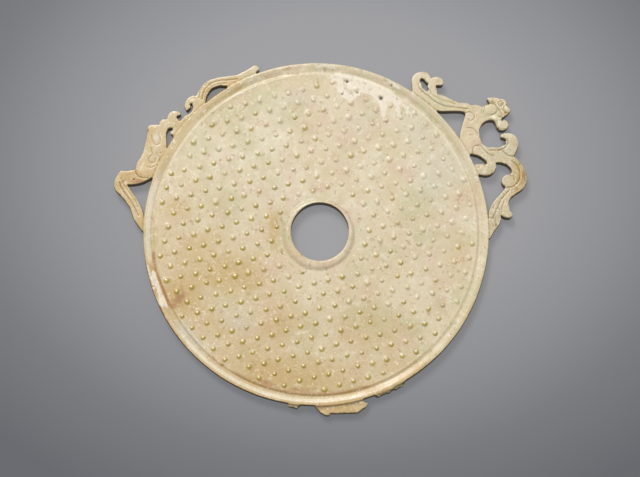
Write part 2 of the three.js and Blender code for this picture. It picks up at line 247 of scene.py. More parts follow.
# %% The grid of the distance field
CELL = 0.25
across = np.arange(-103.5, 108, CELL)
upward = np.arange(-93.5, 88.5, CELL)
grid_x, grid_y = np.meshgrid(across, upward)
JOIN_FILLET, CUT_FILLET, RIM_FILLET = 0.5, 0.3, 0.35
print(grid_x.size, "places in the grid")

# %% Fields of limbs, flanges and stubs
def limb_field(x, y, points):
    """Distance to the edge of one limb."""
    line = smooth_line(points)
    field = np.full(x.shape, np.inf)
    for a, b in zip(line, line[1:]):
        share, distance = segment_share(x, y, a, b)
        field = np.minimum(field, distance - a[2] - share * (b[2] - a[2]))
    return field


def flange_field(x, y, limbs, cuts):
    """All limbs joined softly, less the cuts, with the small waver of a hand-guided saw."""
    field = limb_field(x, y, limbs[0])
    for limb in limbs[1:]:
        field = soft_min(field, limb_field(x, y, limb), JOIN_FILLET)
    for cut in cuts:
        field = -soft_min(-field, limb_field(x, y, cut), CUT_FILLET)
    return field + 0.04 + 0.05 * noise(x, y, 2.3, 3)


def polygon_field(x, y, corners):
    """Distance to a straight-sided outline, less than zero inside."""
    corners = np.array(corners, float)
    ring = np.vstack([corners, corners[:1]])
    inside = np.zeros(x.shape, bool)
    for (x0, y0), (x1, y1) in zip(ring, ring[1:]):
        crosses = (y0 > y) != (y1 > y)
        inside ^= crosses & (x < x0 + (y - y0) * (x1 - x0) / ((y1 - y0) or 1e-9))
    return np.where(inside, -1, 1) * line_distance(x, y, ring)


square, middle = [[0, 0], [2, 0], [2, 2], [0, 2]], np.ones(1)
print("the middle of a 2 mm square is at", polygon_field(middle, middle, square)[0], "mm")

# %% Draw the slab's outline
slab_field = np.hypot(grid_x, grid_y) - DISC_RADIUS + 0.03 + 0.03 * noise(grid_x, grid_y, 5, 4)
for limbs, cuts, side in ((RIGHT_LIMBS, RIGHT_CUTS, grid_x > 44),
                          (LEFT_LIMBS, LEFT_CUTS, grid_x < -26)):
    rows, columns = np.where(side & (grid_y > -6))
    window = np.s_[rows.min():rows.max() + 1, columns.min():columns.max() + 1]
    flange = flange_field(grid_x[window], grid_y[window], limbs, cuts)
    slab_field[window] = soft_min(slab_field[window], flange, RIM_FILLET)
for corners in STUBS:
    jagged = polygon_field(grid_x, grid_y, corners) + 0.1 + 0.16 * noise(grid_x, grid_y, 1.1, 5)
    slab_field = np.minimum(slab_field, jagged)
bore = np.hypot(grid_x - BORE_CENTRE[0], grid_y - BORE_CENTRE[1]) - BORE_RADIUS
slab_field = np.maximum(slab_field, -bore)
print("plan area in cm2:", round((slab_field < 0).sum() * CELL**2 / 100, 1))

# %% Walk round the outline
# Marching squares: each grid cell that the edge crosses gives one short step, from the side
# where the edge comes in to the side where it leaves, with the stone on the left. Sides are
# 0 below, 1 right, 2 above and 3 left, and a cell's key says which corners are stone.
STEPS = {1: [(0, 3)], 2: [(1, 0)], 3: [(1, 3)], 4: [(2, 1)], 5: [(0, 3), (2, 1)], 6: [(2, 0)],
         7: [(2, 3)], 8: [(3, 2)], 9: [(0, 2)], 10: [(1, 0), (3, 2)], 11: [(1, 2)], 12: [(3, 1)],
         13: [(0, 1)], 14: [(3, 0)]}


def outline_loops(field):
    """Closed loops along the zero line of the field."""
    stone = (field < 0).astype(int)
    key = stone[:-1, :-1] + 2 * stone[:-1, 1:] + 4 * stone[1:, 1:] + 8 * stone[1:, :-1]
    following = {}
    for i, j in zip(*np.where((key > 0) & (key < 15))):
        sides = [(i, j, 0), (i, j + 1, 1), (i + 1, j, 0), (i, j, 1)]
        for start, end in STEPS[int(key[i, j])]:
            following[sides[start]] = sides[end]
    loops = []
    while following:
        side = next(iter(following))
        loop = []
        while side in following:
            i, j, standing = side
            a, b = field[i, j], field[i + standing, j + 1 - standing]
            step = CELL * a / (a - b)
            loop.append((across[j] + (1 - standing) * step, upward[i] + standing * step))
            side = following.pop(side)
        loops.append(np.array(loop))
    return loops


rough_loops = [loop for loop in outline_loops(slab_field) if len(loop) > 12]
print(len(rough_loops), "loops round the stone")

# %% Even steps along the outline
def even_loop(loop, plain_step=0.8, carved_step=0.33):
    """The loop with even steps, finer where it follows the openwork than along the plain rim."""
    ring = np.vstack([loop, loop[:1]])
    length = np.hypot(*np.diff(ring, axis=0).T)
    middle = (ring[1:] + ring[:-1]) / 2
    plain = np.hypot(*middle.T) < DISC_RADIUS + 0.12
    walked = np.concatenate([[0], np.cumsum(length / np.where(plain, plain_step, carved_step))])
    stops = np.linspace(0, walked[-1], max(8, round(walked[-1])), endpoint=False)
    return np.column_stack([np.interp(stops, walked, values) for values in ring.T])


loops = [even_loop(loop) for loop in rough_loops]
loops.sort(key=len, reverse=True)
print("points in each loop:", [len(loop) for loop in loops])

# %% The edge as short segments
edge_tree = kdtree.KDTree(sum(map(len, loops)))
edge_segments = []
for loop in loops:
    for before, here, after in zip(np.roll(loop, 1, 0), loop, np.roll(loop, -1, 0)):
        edge_tree.insert((*here, 0), len(edge_segments))
        edge_segments.append((before, here, after))
edge_tree.balance()
edge_segments = np.array(edge_segments)
(edge_x0, edge_y0), (edge_x1, edge_y1) = edge_segments[:, :2].transpose(1, 2, 0)
edge_lean = (edge_x1 - edge_x0) / np.where(edge_y0 == edge_y1, 1, edge_y1 - edge_y0)
print(len(edge_segments), "segments in the outline")

# %% Distance to the edge
def nearest_in(tree, x, y):
    """The number of the tree's nearest point to each place."""
    return np.array([tree.find((px, py, 0))[1] for px, py in zip(x, y)], int)


def edge_distance(x, y, with_facing=False):
    """Distance from each place to the outline, and perhaps how far that edge faces down."""
    nearest = nearest_in(edge_tree, x, y)
    before, here, after = edge_segments[nearest].transpose(1, 2, 0)
    distance = np.minimum(segment_share(x, y, before, here)[1], segment_share(x, y, here, after)[1])
    run = after - before
    return (distance, run[0] / np.hypot(*run)) if with_facing else distance


to_bore = edge_distance(*np.array(BORE_CENTRE)[:, None])[0]
print("the bore's edge is", round(to_bore, 2), "mm from its centre")

# %% [markdown]
# ## Engraved lines, swells and pits
# Along each limb the carver cut fine lines with an abrasive-charged wheel, to part one limb
# from the next. Haunches and cheeks swell a little between them, and burial has left pits.
# Each is one row of a list, which a function of place can turn into height further on.

# %% Engraved lines of the right dragon
# Each is a line of points and its depth.
ENGRAVED = [
    # tail contours, shoulder spiral, flank arcs
    ([[51.8, 73.4], [53.6, 71.4], [56, 69.5], [60, 66.2], [64.5, 64.1], [70, 63.2], [76, 62.6]],
     0.5),
    ([[57.2, 72.6], [57.9, 70.4], [60.6, 68.4], [64.8, 66.6], [70, 65]], 0.3),
    ([[52.6, 76.4], [51.6, 74.6], [53, 71.6], [55.6, 69], [60.4, 65.6], [66, 62.8]], 0.22),
    ([[60.5, 74.6], [60.1, 72.6], [60.9, 70.4], [64, 68]], 0.22),
    ([[75, 60.3], [77.2, 60.9], [78.9, 60], [79.5, 58.4], [78.8, 56.9], [77.3, 56.4],
     [76.3, 57.3]], 0.35),
    ([[75.4, 52.9], [78, 52.6], [80, 51.2], [81.2, 49.4]], 0.35), ([[76.8, 49], [78.5, 49.2]], 0.3),
    # head: cheek, ear to eye, eye ring, muzzle
    ([[84.2, 60.4], [84.6, 63.4], [87, 65.1], [89.6, 64.6], [91, 62.4], [90.2, 60.2], [88, 59.2]],
     0.35),
    ([[88.3, 66.6], [89.9, 65.2], [90.6, 63.6], [92.3, 61.6]], 0.4),
    ([[94.2, 65.2], [92.8, 66.6], [91.4, 65.2], [92.8, 63.8], [94.2, 65.2]], 0.4),
    ([[94.4, 63.9], [94.2, 62.2], [95, 60.6], [96.6, 60.3]], 0.4),
    ([[91.2, 61.9], [92.6, 60.8], [93.2, 59.2], [92.4, 57.8]], 0.3),
    ([[91.6, 58.6], [93, 58.4], [94.2, 57.4]], 0.4),
    ([[90.9, 56.6], [90.9, 53.8], [92.6, 51.9], [94.8, 52.2]], 0.3),
    ([[84.6, 64.6], [83.2, 62.2], [83.4, 59.8]], 0.3),
    # foreleg, scroll, haunch
    ([[86.6, 41.4], [91.5, 41.4], [94.4, 42.6], [96.2, 45.4], [95.6, 47.4]], 0.45),
    ([[92.7, 42.2], [94, 40.5], [96, 38.8], [99, 38.3]], 0.4),
    ([[79.6, 43.6], [82.3, 43.7], [84.2, 41.5], [86.4, 39.5], [89, 38.6]], 0.45),
    ([[79.2, 43.4], [78.4, 41.6], [78.6, 39.6]], 0.35),
    ([[81, 32.4], [82.2, 33.6], [83.6, 33.8], [84.6, 32.8]], 0.35),
    # lower curl, root and leaf
    ([[97.8, 36], [100.5, 33.6], [101.7, 29.8], [101.2, 26], [98.6, 23.2], [95.2, 22.4]], 0.5),
    ([[96.5, 28.4], [98.3, 28], [98.9, 26.3]], 0.3),
    ([[96.4, 21.1], [93, 17.4], [91, 13.9], [89.2, 9.8], [87.7, 6.8]], 0.5),
    ([[93.8, 15.6], [92.6, 12.6], [92.6, 10.4]], 0.3), ([[88.3, 2.8], [87.8, 4.5]], 0.3),
]
print(len(ENGRAVED), "lines on the right dragon")

# %% Engraved lines of the left dragon
ENGRAVED += [
    # tail contours
    ([[-57.3, 67.4], [-56.5, 71], [-54, 74.6], [-50, 76.6], [-45, 77.2], [-39.5, 77.8]], 0.4),
    ([[-58.9, 68.2], [-58, 72], [-55, 75.6]], 0.3),
    ([[-56, 66.6], [-55.2, 70.4], [-52.8, 73.6], [-49, 75.2], [-45, 75.6]], 0.22),
    ([[-61.6, 65.4], [-62.6, 64.6], [-62.9, 63.6]], 0.3),
    # torso, leg and lower limb
    ([[-82.6, 49.2], [-81.8, 46.2], [-79.8, 43.9], [-78.2, 44.8]], 0.25),
    ([[-78.2, 44.8], [-78, 47.4], [-79, 50.2]], 0.2),
    ([[-82.6, 42.7], [-82, 39.5], [-83.9, 36.9], [-82.6, 35], [-80.7, 35.4], [-80.2, 37.4]], 0.3),
    ([[-79.4, 40.4], [-79.3, 38.9], [-78, 37.6], [-78.3, 35.4]], 0.3),
    ([[-84.4, 33.2], [-82.6, 32.6], [-80.6, 33.6]], 0.25),
    ([[-85.4, 50.5], [-84.8, 44.6], [-86.4, 38.6]], 0.12),
    ([[-90.3, 31.4], [-89.5, 29.2], [-87.4, 27.6], [-84, 27.4]], 0.4),
    ([[-98.2, 25.4], [-97, 22.2], [-93.6, 17.6], [-90.8, 13.2], [-88.4, 8.6]], 0.4),
    ([[-97.4, 27.4], [-95.8, 24], [-92.6, 19.8], [-89.6, 15.2]], 0.3),
    ([[-95, 23.6], [-93.4, 20.4], [-90.4, 16.4], [-88.6, 12.8]], 0.25),
]
engraved = [(smooth_line(points, 5), depth) for points, depth in ENGRAVED]
lengths = [np.hypot(*np.diff(line, axis=0).T).sum() for line, _ in engraved]
print(len(ENGRAVED), "lines in all,", round(sum(lengths)), "mm long together")

# %% Swells, hollows and pits
# Each swell is [x, y, half length, half width, turn in degrees, height].
SWELLS = [
    [79, 45, 5, 4, 60, 0.32], [88, 62.4, 3, 2.4, 10, 0.3], [93, 65.2, 1.1, 1.1, 0, 0.35],
    [93.3, 54, 2.2, 2.2, 0, 0.25], [98.2, 44, 2.2, 3.6, 10, 0.2], [100, 28, 3, 4.5, 0, 0.25],
    [86.4, 33.4, 2.4, 3.4, 0, 0.25], [81.6, 31.6, 1.6, 1.6, 0, 0.25],
    [95.4, 62.4, 1.3, 1.3, 0, 0.3], [90, 5.5, 1.1, 2.8, 0, -0.55], [87, 58.6, 3.4, 1.5, 5, -0.55],
    [80, 57.6, 2, 2, 0, 0.2], [-80.6, 42, 3, 6, -8, 0.25], [-86, 30, 3.4, 2.6, -20, 0.3],
    [-97, 24, 2, 3, 0, 0.2], [-61.6, 66, 1.6, 1.4, 0, 0.2],
]
# Each pit is [x, y, half width, depth].
PITS = [
    [88.5, 13.3, 0.45, 0.5], [88.3, 12.3, 0.35, 0.4], [91.3, 11.5, 0.4, 0.5],
    [-77.7, 40, 0.45, 0.45], [-75.9, 42.8, 0.4, 0.4], [-91, 26.7, 0.45, 0.5],
    [-96, 25.5, 0.45, 0.5], [32.6, 67.9, 1.3, 0.7], [31.6, 68.9, 0.7, 0.4], [27.6, 72.3, 1.1, 0.25],
    [15.6, 76.6, 1.2, 0.5], [14.4, 77, 0.8, 0.4], [20.6, 70.9, 1, 0.45], [24, 75.8, 0.7, 0.4],
    [21.4, 76.4, 0.6, 0.3], [13.2, 70, 0.8, 0.4], [14.9, 72.8, 0.6, 0.4], [17.3, 70.2, 0.6, 0.35],
    [16.2, 71.8, 0.5, 0.35], [18.4, 69.4, 0.5, 0.35], [12.6, 73.8, 0.5, 0.35],
    [38, 74.6, 0.9, 0.45], [35.2, 76.6, 0.9, 0.4], [8.4, 80.6, 1.4, 0.3], [4.4, 82.4, 1.6, 0.3],
    [44.6, 61.6, 0.7, 0.25], [-77.6, -38.6, 1.1, 0.9], [-78.8, -36.6, 0.8, 0.6],
]
print(len(SWELLS), "swells and hollows,", len(PITS), "pits")

# %% [markdown]
# ## Bosses
# The bosses are what is left when the ground between them is ground down. They stand on one
# six-sided grid, but each was cut by eye, so place, width and height vary a little. The
# random numbers are seeded, so that the disc comes out the same each time.

# %% Places of the bosses
GRID_ROWS = 14  # each way from the middle
SLIP = 0.22  # how far a boss stands from its place on the grid, as a rule
NEAREST_BOSS, FARTHEST_BOSS = 20.9, 78.3  # from the bore's centre, and from the disc's
turn = math.radians(BOSS_TURN)
along, aslant = (BOSS_PITCH * np.array([math.cos(angle), math.sin(angle)])
                 for angle in (turn, turn + math.pi / 3))
chance = np.random.RandomState(12)
bosses = []
for i in range(-GRID_ROWS, GRID_ROWS + 1):
    for j in range(-GRID_ROWS, GRID_ROWS + 1):
        x, y = BOSS_START + i * along + j * aslant
        shift = chance.normal(0, SLIP, 2)
        width, height, worn = chance.uniform(1.2, 1.5), chance.uniform(0.6, 0.86), chance.uniform()
        to_bore = math.hypot(x - BORE_CENTRE[0], y - BORE_CENTRE[1])
        if math.hypot(x, y) < FARTHEST_BOSS and to_bore > NEAREST_BOSS:
            height *= 0.6 if worn < 0.12 else 1
            height *= 1 - 0.3 * smooth_step(x + y, 10, 80)
            width *= 1.15 if worn > 0.94 else 1
            bosses.append([x + shift[0], y + shift[1], width, height])
bosses = np.array(bosses)
print(len(bosses), "bosses")

# %% [markdown]
# ## Where the mesh needs points
# A mesh only shows what it has points for. Points are sown where the relief turns, first the
# outline and rows just inside it, then the lines, rings and bosses, and last an even grid
# over what is left. A point that would stand too near an earlier one is dropped.

# %% Keep points clear of each other
class Sower:
    """Keeps points that stand clear of each other, in square cells so that few are compared."""

    SIDE = 0.5

    def __init__(self):
        self.points, self.cells = [], {}

    def add(self, points, clear):
        reach = math.ceil(clear / self.SIDE)
        for x, y in points:
            column, row = math.floor(x / self.SIDE), math.floor(y / self.SIDE)
            near = (point for i in range(column - reach, column + reach + 1)
                    for j in range(row - reach, row + reach + 1)
                    for point in self.cells.get((i, j), ()))
            if all((x - px) ** 2 + (y - py) ** 2 >= clear * clear for px, py in near):
                self.points.append((x, y))
                self.cells.setdefault((column, row), []).append((x, y))


trial = Sower()
trial.add([(0, 0), (0.1, 0), (1, 0)], 0.5)
print("of 3 trial points,", len(trial.points), "stand clear")

# %% Rings, grids and rows of points
def ring(x, y, radius, count, start=0.0):
    angles = np.arange(count) * 2 * np.pi / count + start
    return np.column_stack([x + radius * np.cos(angles), y + radius * np.sin(angles)])


def hex_grid(x0, x1, y0, y1, pitch):
    """Evenly spread points over a box, each row half a step aside from the last."""
    rows = []
    for k, y in enumerate(np.arange(y0, y1, pitch * math.sqrt(3) / 2)):
        x = np.arange(x0 + (k % 2) * pitch / 2, x1, pitch)
        rows.append(np.column_stack([x, np.full(len(x), y)]))
    return np.vstack(rows)


def row_beside(line, heading, offset):
    """The line moved this far to the left of its heading."""
    heading = heading / np.linalg.norm(heading, axis=1)[:, None]
    return line + offset * np.column_stack([-heading[:, 1], heading[:, 0]])


print("a grid of 1 mm over 10 mm by 10 mm has", len(hex_grid(0, 10, 0, 10, 1)), "points")

# %% Places in the stone
def in_stone(x, y):
    """Whether each place is in the stone: a line from it to the far right meets an odd
    number of the outline's edges. Only places near the edge need the exact count."""
    column = np.clip(((x - across[0]) / CELL).astype(int), 0, len(across) - 1)
    row = np.clip(((y - upward[0]) / CELL).astype(int), 0, len(upward) - 1)
    depth = slab_field[row, column]
    stone = depth < 0
    near_edge = np.where(np.abs(depth) < 0.8)[0]
    for some in np.array_split(near_edge, 40):  # in lots, to save memory
        crossed = (edge_y0 > y[some, None]) != (edge_y1 > y[some, None])
        reached = edge_x0 + (y[some, None] - edge_y0) * edge_lean > x[some, None]
        stone[some] = (crossed & reached).sum(1) % 2 == 1
    return stone


def inside(points, margin):
    """The points that stand in the stone, at least this far from its edge."""
    points = points[in_stone(*points.T)]
    return points[edge_distance(*points.T) > margin]


def collar_slip(away):
    """How far left and down the collar's centre is at this distance from the bore's centre,
    since the collar's foot was ground less round than the bore."""
    shift = smooth_step(away, 14.6, 17)
    return 0.45 * shift, 0.95 * shift


print("the collar's foot is", collar_slip(COLLAR_FOOT), "mm left of and below the bore's centre")

# %% Sow the outline and the carving
ROW_CLEAR = 0.2  # how far the points of a row or ring stand from earlier ones
GRID_CLEAR, GRID_MARGIN = 0.62, 0.35  # from earlier points and from the edge, in pitches
outline = [(float(x), float(y)) for loop in loops for x, y in loop]


def sow_edges(sower, depths, offsets):
    """Rows inside the outline at these depths, and beside the engraved lines."""
    sower.add(outline, 0)
    for depth in depths:
        for loop in loops:
            row = row_beside(loop, np.roll(loop, -1, 0) - np.roll(loop, 1, 0), depth)
            sower.add(row[edge_distance(*row.T) > 0.88 * depth], 0.75 * min(depth, 0.3))
    for offset in offsets:
        for line, _ in engraved:
            for side in (1, -1) if offset else (1,):
                row = row_beside(line, np.gradient(line, axis=0), side * offset)
                sower.add(inside(row, 0.2), ROW_CLEAR)


def sow_circles(sower, rim_radii, rim_count, collar_radii, boss_rings):
    for radius in rim_radii:
        sower.add(inside(ring(0, 0, radius, rim_count), 0.15), ROW_CLEAR)
    for radius in collar_radii:
        slip_x, slip_y = collar_slip(radius)
        circle = ring(BORE_CENTRE[0] - slip_x, BORE_CENTRE[1] - slip_y, radius, 150)
        sower.add(circle, ROW_CLEAR)
    for x, y, width, _ in bosses:
        for share, count in boss_rings:
            sower.add(ring(x, y, share * width, count, x), 0.25)


def sow_grids(sower, patches, carved_pitch, field_pitch):
    """Fine grids over the patches, a coarser one over the openwork, the coarsest on the disc."""
    for patch in patches:
        sower.add(inside(hex_grid(*patch), 0.3), 0.45)
    carved = hex_grid(-102, 107, -92, 87, carved_pitch)
    carved = carved[np.hypot(*carved.T) > DISC_RADIUS + 0.1]
    sower.add(inside(carved, GRID_MARGIN * carved_pitch), GRID_CLEAR * carved_pitch)
    field = hex_grid(-81, 81, -81, 81, field_pitch)
    sower.add(inside(field[np.hypot(*field.T) < 80.4], 0.5), GRID_CLEAR * field_pitch)


print(len(outline), "points on the outline")

# %% Points of the face and of the back
RIM_RADII = [86.6, 86.3, 86.08, 85.85, 85.6, 85.3, 84.9, 84.4, 83.9, 83.3, 82.6, 82, 81.6, 81.25,
             80.9, 80.6, 80.3, 80, 79.7, 79.3]
COLLAR_RADII = [14.8, 15.3, 15.8, 16.3, 16.7, 17.1, 17.5, 17.9, 18.4, 19, 19.7, 20.4]
BOSS_RINGS = [(0, 1), (0.4, 6), (0.75, 9), (1.02, 10), (1.3, 10)]  # in boss widths, with counts
PITTED = [(11, 44, 58, 80, 0.7), (-86, -76, -38, -17, 0.55)]  # boxes with fine pits or chips
face, rear = Sower(), Sower()
sow_edges(face, [0.08, 0.22, 0.5], [0, 0.25, 0.5])
sow_circles(face, RIM_RADII, 400, COLLAR_RADII, BOSS_RINGS)
sow_grids(face, PITTED, 0.48, 1.3)
sow_edges(rear, [0.15, 0.5], [])
sow_circles(rear, RIM_RADII[2::3], 220, [15.2, 16.2, 17, 17.8, 18.6, 20],
            [(0, 1), (0.6, 6), (1.1, 7)])
sow_grids(rear, [], 1.1, 2.6)
print(len(face.points), "points on the face,", len(rear.points), "on the back")

# %% [markdown]
# ## The slab
# The points are joined into triangles by a constrained Delaunay triangulation, which keeps
# the outline's own edges. That gives a flat sheet for the face and another for the back. The
# face's rim edges are extruded down into walls, as one would do by hand, and the back is
# joined on and welded. The result is a closed slab that still has no relief.

# %% Flat sheets
FACE_LEVEL, UPPER_LEVEL, LOWER_LEVEL, BACK_LEVEL = 5.0, 4.0, 1.0, 0.0
SAME_PLACE = 1e-6  # mm: points nearer than this are one


def flat_sheet(name, points, level):
    """A flat mesh of triangles through the points, inside the outline, facing up."""
    edges, first = [], 0
    for loop in loops:
        edges += [(first + k, first + (k + 1) % len(loop)) for k in range(len(loop))]
        first += len(loop)
    corners, _, faces, *_ = geometry.delaunay_2d_cdt(
        [Vector(point) for point in points], edges, [], 0, SAME_PLACE, False)
    corners, faces = np.array([tuple(corner) for corner in corners]), np.array(faces)
    keep = in_stone(*corners[faces].mean(1).T)
    mesh = bpy.data.meshes.new(name)
    mesh.from_pydata([(x * MM, y * MM, level * MM) for x, y in corners], [], faces[keep].tolist())
    sheet = bpy.data.objects.new(name, mesh)
    bpy.context.collection.objects.link(sheet)
    return sheet


bpy.ops.object.select_all(action="DESELECT")
bi = flat_sheet("jade_bi_carved", face.points, FACE_LEVEL)
back = flat_sheet("back_sheet", rear.points, BACK_LEVEL)
print("triangles:", len(bi.data.polygons), "face,", len(back.data.polygons), "back")

# %% Walls, then weld the back on
WELD = 2e-6  # in metres
bpy.context.view_layer.objects.active = bi
bi.select_set(True)
bpy.ops.object.mode_set(mode="EDIT")
bpy.ops.mesh.select_mode(type="EDGE")
bpy.ops.mesh.select_all(action="DESELECT")
bpy.ops.mesh.select_non_manifold(use_wire=False, use_multi_face=False,
                                 use_non_contiguous=False, use_verts=False)
levels = (FACE_LEVEL, UPPER_LEVEL, LOWER_LEVEL, BACK_LEVEL)
for high, low in zip(levels, levels[1:]):
    drop = (0, 0, (low - high) * MM)
    bpy.ops.mesh.extrude_region_move(TRANSFORM_OT_translate={"value": drop})
bpy.ops.object.mode_set(mode="OBJECT")
back.select_set(True)
bpy.ops.object.join()
bpy.ops.object.mode_set(mode="EDIT")
bpy.ops.mesh.select_all(action="SELECT")
bpy.ops.mesh.remove_doubles(threshold=WELD)
bpy.ops.mesh.normals_make_consistent(inside=False)
bpy.ops.mesh.select_all(action="DESELECT")
bpy.ops.mesh.select_non_manifold()
bpy.ops.object.mode_set(mode="OBJECT")
open_edges = sum(edge.select for edge in bi.data.edges)
print("slab:", len(bi.data.vertices), "points,", len(bi.data.polygons), "faces,",
      open_edges, "open edges")

# %% [markdown]
# ## The height of the face
# Grinding takes stone away from a flat slab, so the face is a height for each place: the
# disc's section, the collar, the bosses, then what was cut or has worn away. Each feature is
# its own small function, and they are added up.

# %% Section of the disc and the collar
# Each is (distance from the centre, height).
RIM_SECTION = [
    (0, FIELD_Z), (79, FIELD_Z), (79.5, 5.03), (79.9, 5.08), (80.2, 5.04), (80.6, 4.72), (81, 4.46),
    (81.4, 4.38), (81.8, 4.46), (82.4, 4.74), (83.2, 5.12), (84, 5.42), (84.5, 5.55), (85, 5.6),
    (DISC_RADIUS, 5.6),
]
COLLAR_SECTION = [
    (BORE_RADIUS, TOP_Z), (15.2, 5.98), (16, 5.9), (16.6, 5.72), (17.1, 5.4), (17.6, 5.04),
    (18, 4.86), (18.5, 4.84), (19.3, 4.92), (COLLAR_FOOT, FIELD_Z),
]
BACK_RIM_SECTION = [(0, BACK_FIELD_Z), (80.6, BACK_FIELD_Z), (82.8, 0), (85.5, 0),
                    (DISC_RADIUS, 0.2)]
BACK_COLLAR_SECTION = [(BORE_RADIUS, 0), (16.2, 0), (17.2, 0.4), (18.2, BACK_FIELD_Z)]


def section_height(distance, section):
    return np.interp(distance, *zip(*section))


def collar_reach(x, y):
    """Distance from the collar's own centre."""
    right, up = x - BORE_CENTRE[0], y - BORE_CENTRE[1]
    slip_x, slip_y = collar_slip(np.hypot(right, up))
    return np.hypot(right + slip_x, up + slip_y)


def in_field(x, y, clear=0):
    """Whether each place is on the field of bosses, this far clear of the rim."""
    return (np.hypot(x, y) < RIM_FOOT - clear) & (collar_reach(x, y) > COLLAR_FOOT)


def rounding(depth, radius):
    """How much a rounded edge of this radius has dropped, at this distance from the edge."""
    near = np.clip(radius - depth, 0, radius)
    return radius - np.sqrt(radius**2 - near**2)


print("heights of the rim and its gutter in mm:", section_height([85, 81.4], RIM_SECTION))

# %% Height of the bosses
boss_tree = kdtree.KDTree(len(bosses))
for k, (x, y, *_) in enumerate(bosses):
    boss_tree.insert((x, y, 0), k)
boss_tree.balance()


def boss_share(x, y):
    """The nearest boss's number, how far right of it and above it each place is in widths of
    the boss, and the distance with some unevenness, 1 at its foot."""
    nearest = nearest_in(boss_tree, x, y)
    boss_x, boss_y, width, _ = bosses[nearest].T
    share = np.hypot(x - boss_x, y - boss_y) / width * (1 + 0.16 * noise(x, y, 1.9, 51))
    return nearest, (x - boss_x) / width, (y - boss_y) / width, share


def boss_height(x, y):
    nearest, _, _, share = boss_share(x, y)
    dome = np.clip(1 - share**2, 0, 1) ** 0.7
    return bosses[nearest, 3] * dome - 0.07 * bell(share, 1.15, 0.3)


tops = boss_height(*bosses[:, :2].T)
print("bosses are", round(tops.min(), 2), "to", round(tops.max(), 2), "mm high")

# %% Depth of the engraved lines
def near_line(x, y, line, reach):
    """Whether each place is in the line's box, made larger by this reach."""
    (x0, y0), (x1, y1) = line.min(0), line.max(0)
    return (x > x0 - reach) & (x < x1 + reach) & (y > y0 - reach) & (y < y1 + reach)


def beside_lines(x, y, reach, strength):
    """The most that the engraved lines give at each place: strength(distance, depth of cut)."""
    most = np.zeros(len(x))
    for line, depth in engraved:
        close = near_line(x, y, line, reach)
        if close.any():
            away = line_distance(x[close], y[close], line)
            most[close] = np.maximum(most[close], strength(away, depth))
    return most


def line_cut(x, y):
    """How deep the engraved lines go at each place."""
    return beside_lines(x, y, 1, lambda away, depth: depth * (1 - smooth_step(away, 0.03, 0.42)))


on_lines = np.vstack([line for line, _ in engraved]).T
print("deepest line:", round(line_cut(*on_lines).max(), 2), "mm")

# %% Height of the swells and pits
def patch_reach(x, y, cx, cy, length, width, turned):
    """Squared distance from the middle of a turned patch, 1 at its edge."""
    c, s = math.cos(math.radians(turned)), math.sin(math.radians(turned))
    u, v = (x - cx) * c + (y - cy) * s, (y - cy) * c - (x - cx) * s
    return (u / length) ** 2 + (v / width) ** 2


def swell_height(x, y):
    """Soft swells and hollows of the modelling, and the small pits."""
    height = np.zeros(len(x))
    for *patch, lift in SWELLS:
        height += lift * np.exp(-1.2 * patch_reach(x, y, *patch) ** 1.5)
    for cx, cy, width, depth in PITS:
        height -= depth * bell(np.hypot(x - cx, y - cy), 0, width)
    return height


swells = swell_height(*np.array(SWELLS)[:, :2].T)
print("swells from", round(swells.min(), 2), "to", round(swells.max(), 2), "mm")

# %% Height of the disc's face
WORN_Z, BUMPY_Z = 5.12, 5.2  # heights of the worn rim, and at least of the bumpy one


def polar(x, y):
    return np.hypot(x, y), np.degrees(np.arctan2(y, x)) % 360


def worn_share(angle):
    """How far the rim is worn flat: almost wholly where it runs on into the left dragon's
    band, and by half at the lower right."""
    return 0.85 * between(angle, 108, 128, 148, 160) + 0.5 * between(angle, 290, 318, 345, 357)


def disc_height(x, y):
    """The rim with its worn and bumpy places, the collar, and the field with its bosses."""
    radius, angle = polar(x, y)
    height = section_height(radius, RIM_SECTION)
    height += smooth_step(radius, 79.2, 80.6) * worn_share(angle) * (WORN_Z - height)
    bumpy = between(angle, 76, 82, 98, 106) * (radius > 79.5)
    height += 0.6 * bumpy * smooth_step(radius, 79.6, 81) * np.clip(BUMPY_Z - height, 0, 1)
    height += bumpy * (0.16 * noise(x, y, 2.2, 21) + 0.08 * noise(x, y, 0.9, 22))
    collar, field = collar_reach(x, y), in_field(x, y)
    height = np.where(collar < COLLAR_FOOT, section_height(collar, COLLAR_SECTION), height)
    x, y = x[field], y[field]
    height[field] += boss_height(x, y) + 0.035 * noise(x, y, 9, 6) + 0.015 * noise(x, y, 2.6, 7)
    return height


def chip_depth(x, y):
    """The long chip on the rim at the left, and the nicks along the rim at the lower right."""
    radius, angle = polar(x, y)
    chip = between(angle, 190, 194, 203, 207) * smooth_step(radius, 81.6, 83.5)
    nicks = between(angle, 284, 288, 309, 313) * smooth_step(radius, 84.6, 85.6)
    return (chip * (0.4 + 0.3 * noise(x, y, 1.3, 11) + 0.2 * noise(x, y, 0.6, 12))
            + nicks * np.clip(0.1 + 0.5 * noise(x, y, 1.5, 23), 0, 0.5))


print("the rim is worn by", worn_share(np.array([140, 330])), "at the upper left and lower right")

# %% Heights of the face and the back
GROOVE = 0.28  # how deep a groove parts the flange from the rim, where the rim is not worn


def is_stub(x, y):
    """Where the slab beyond the rim belongs to the broken flange below."""
    return y < -70


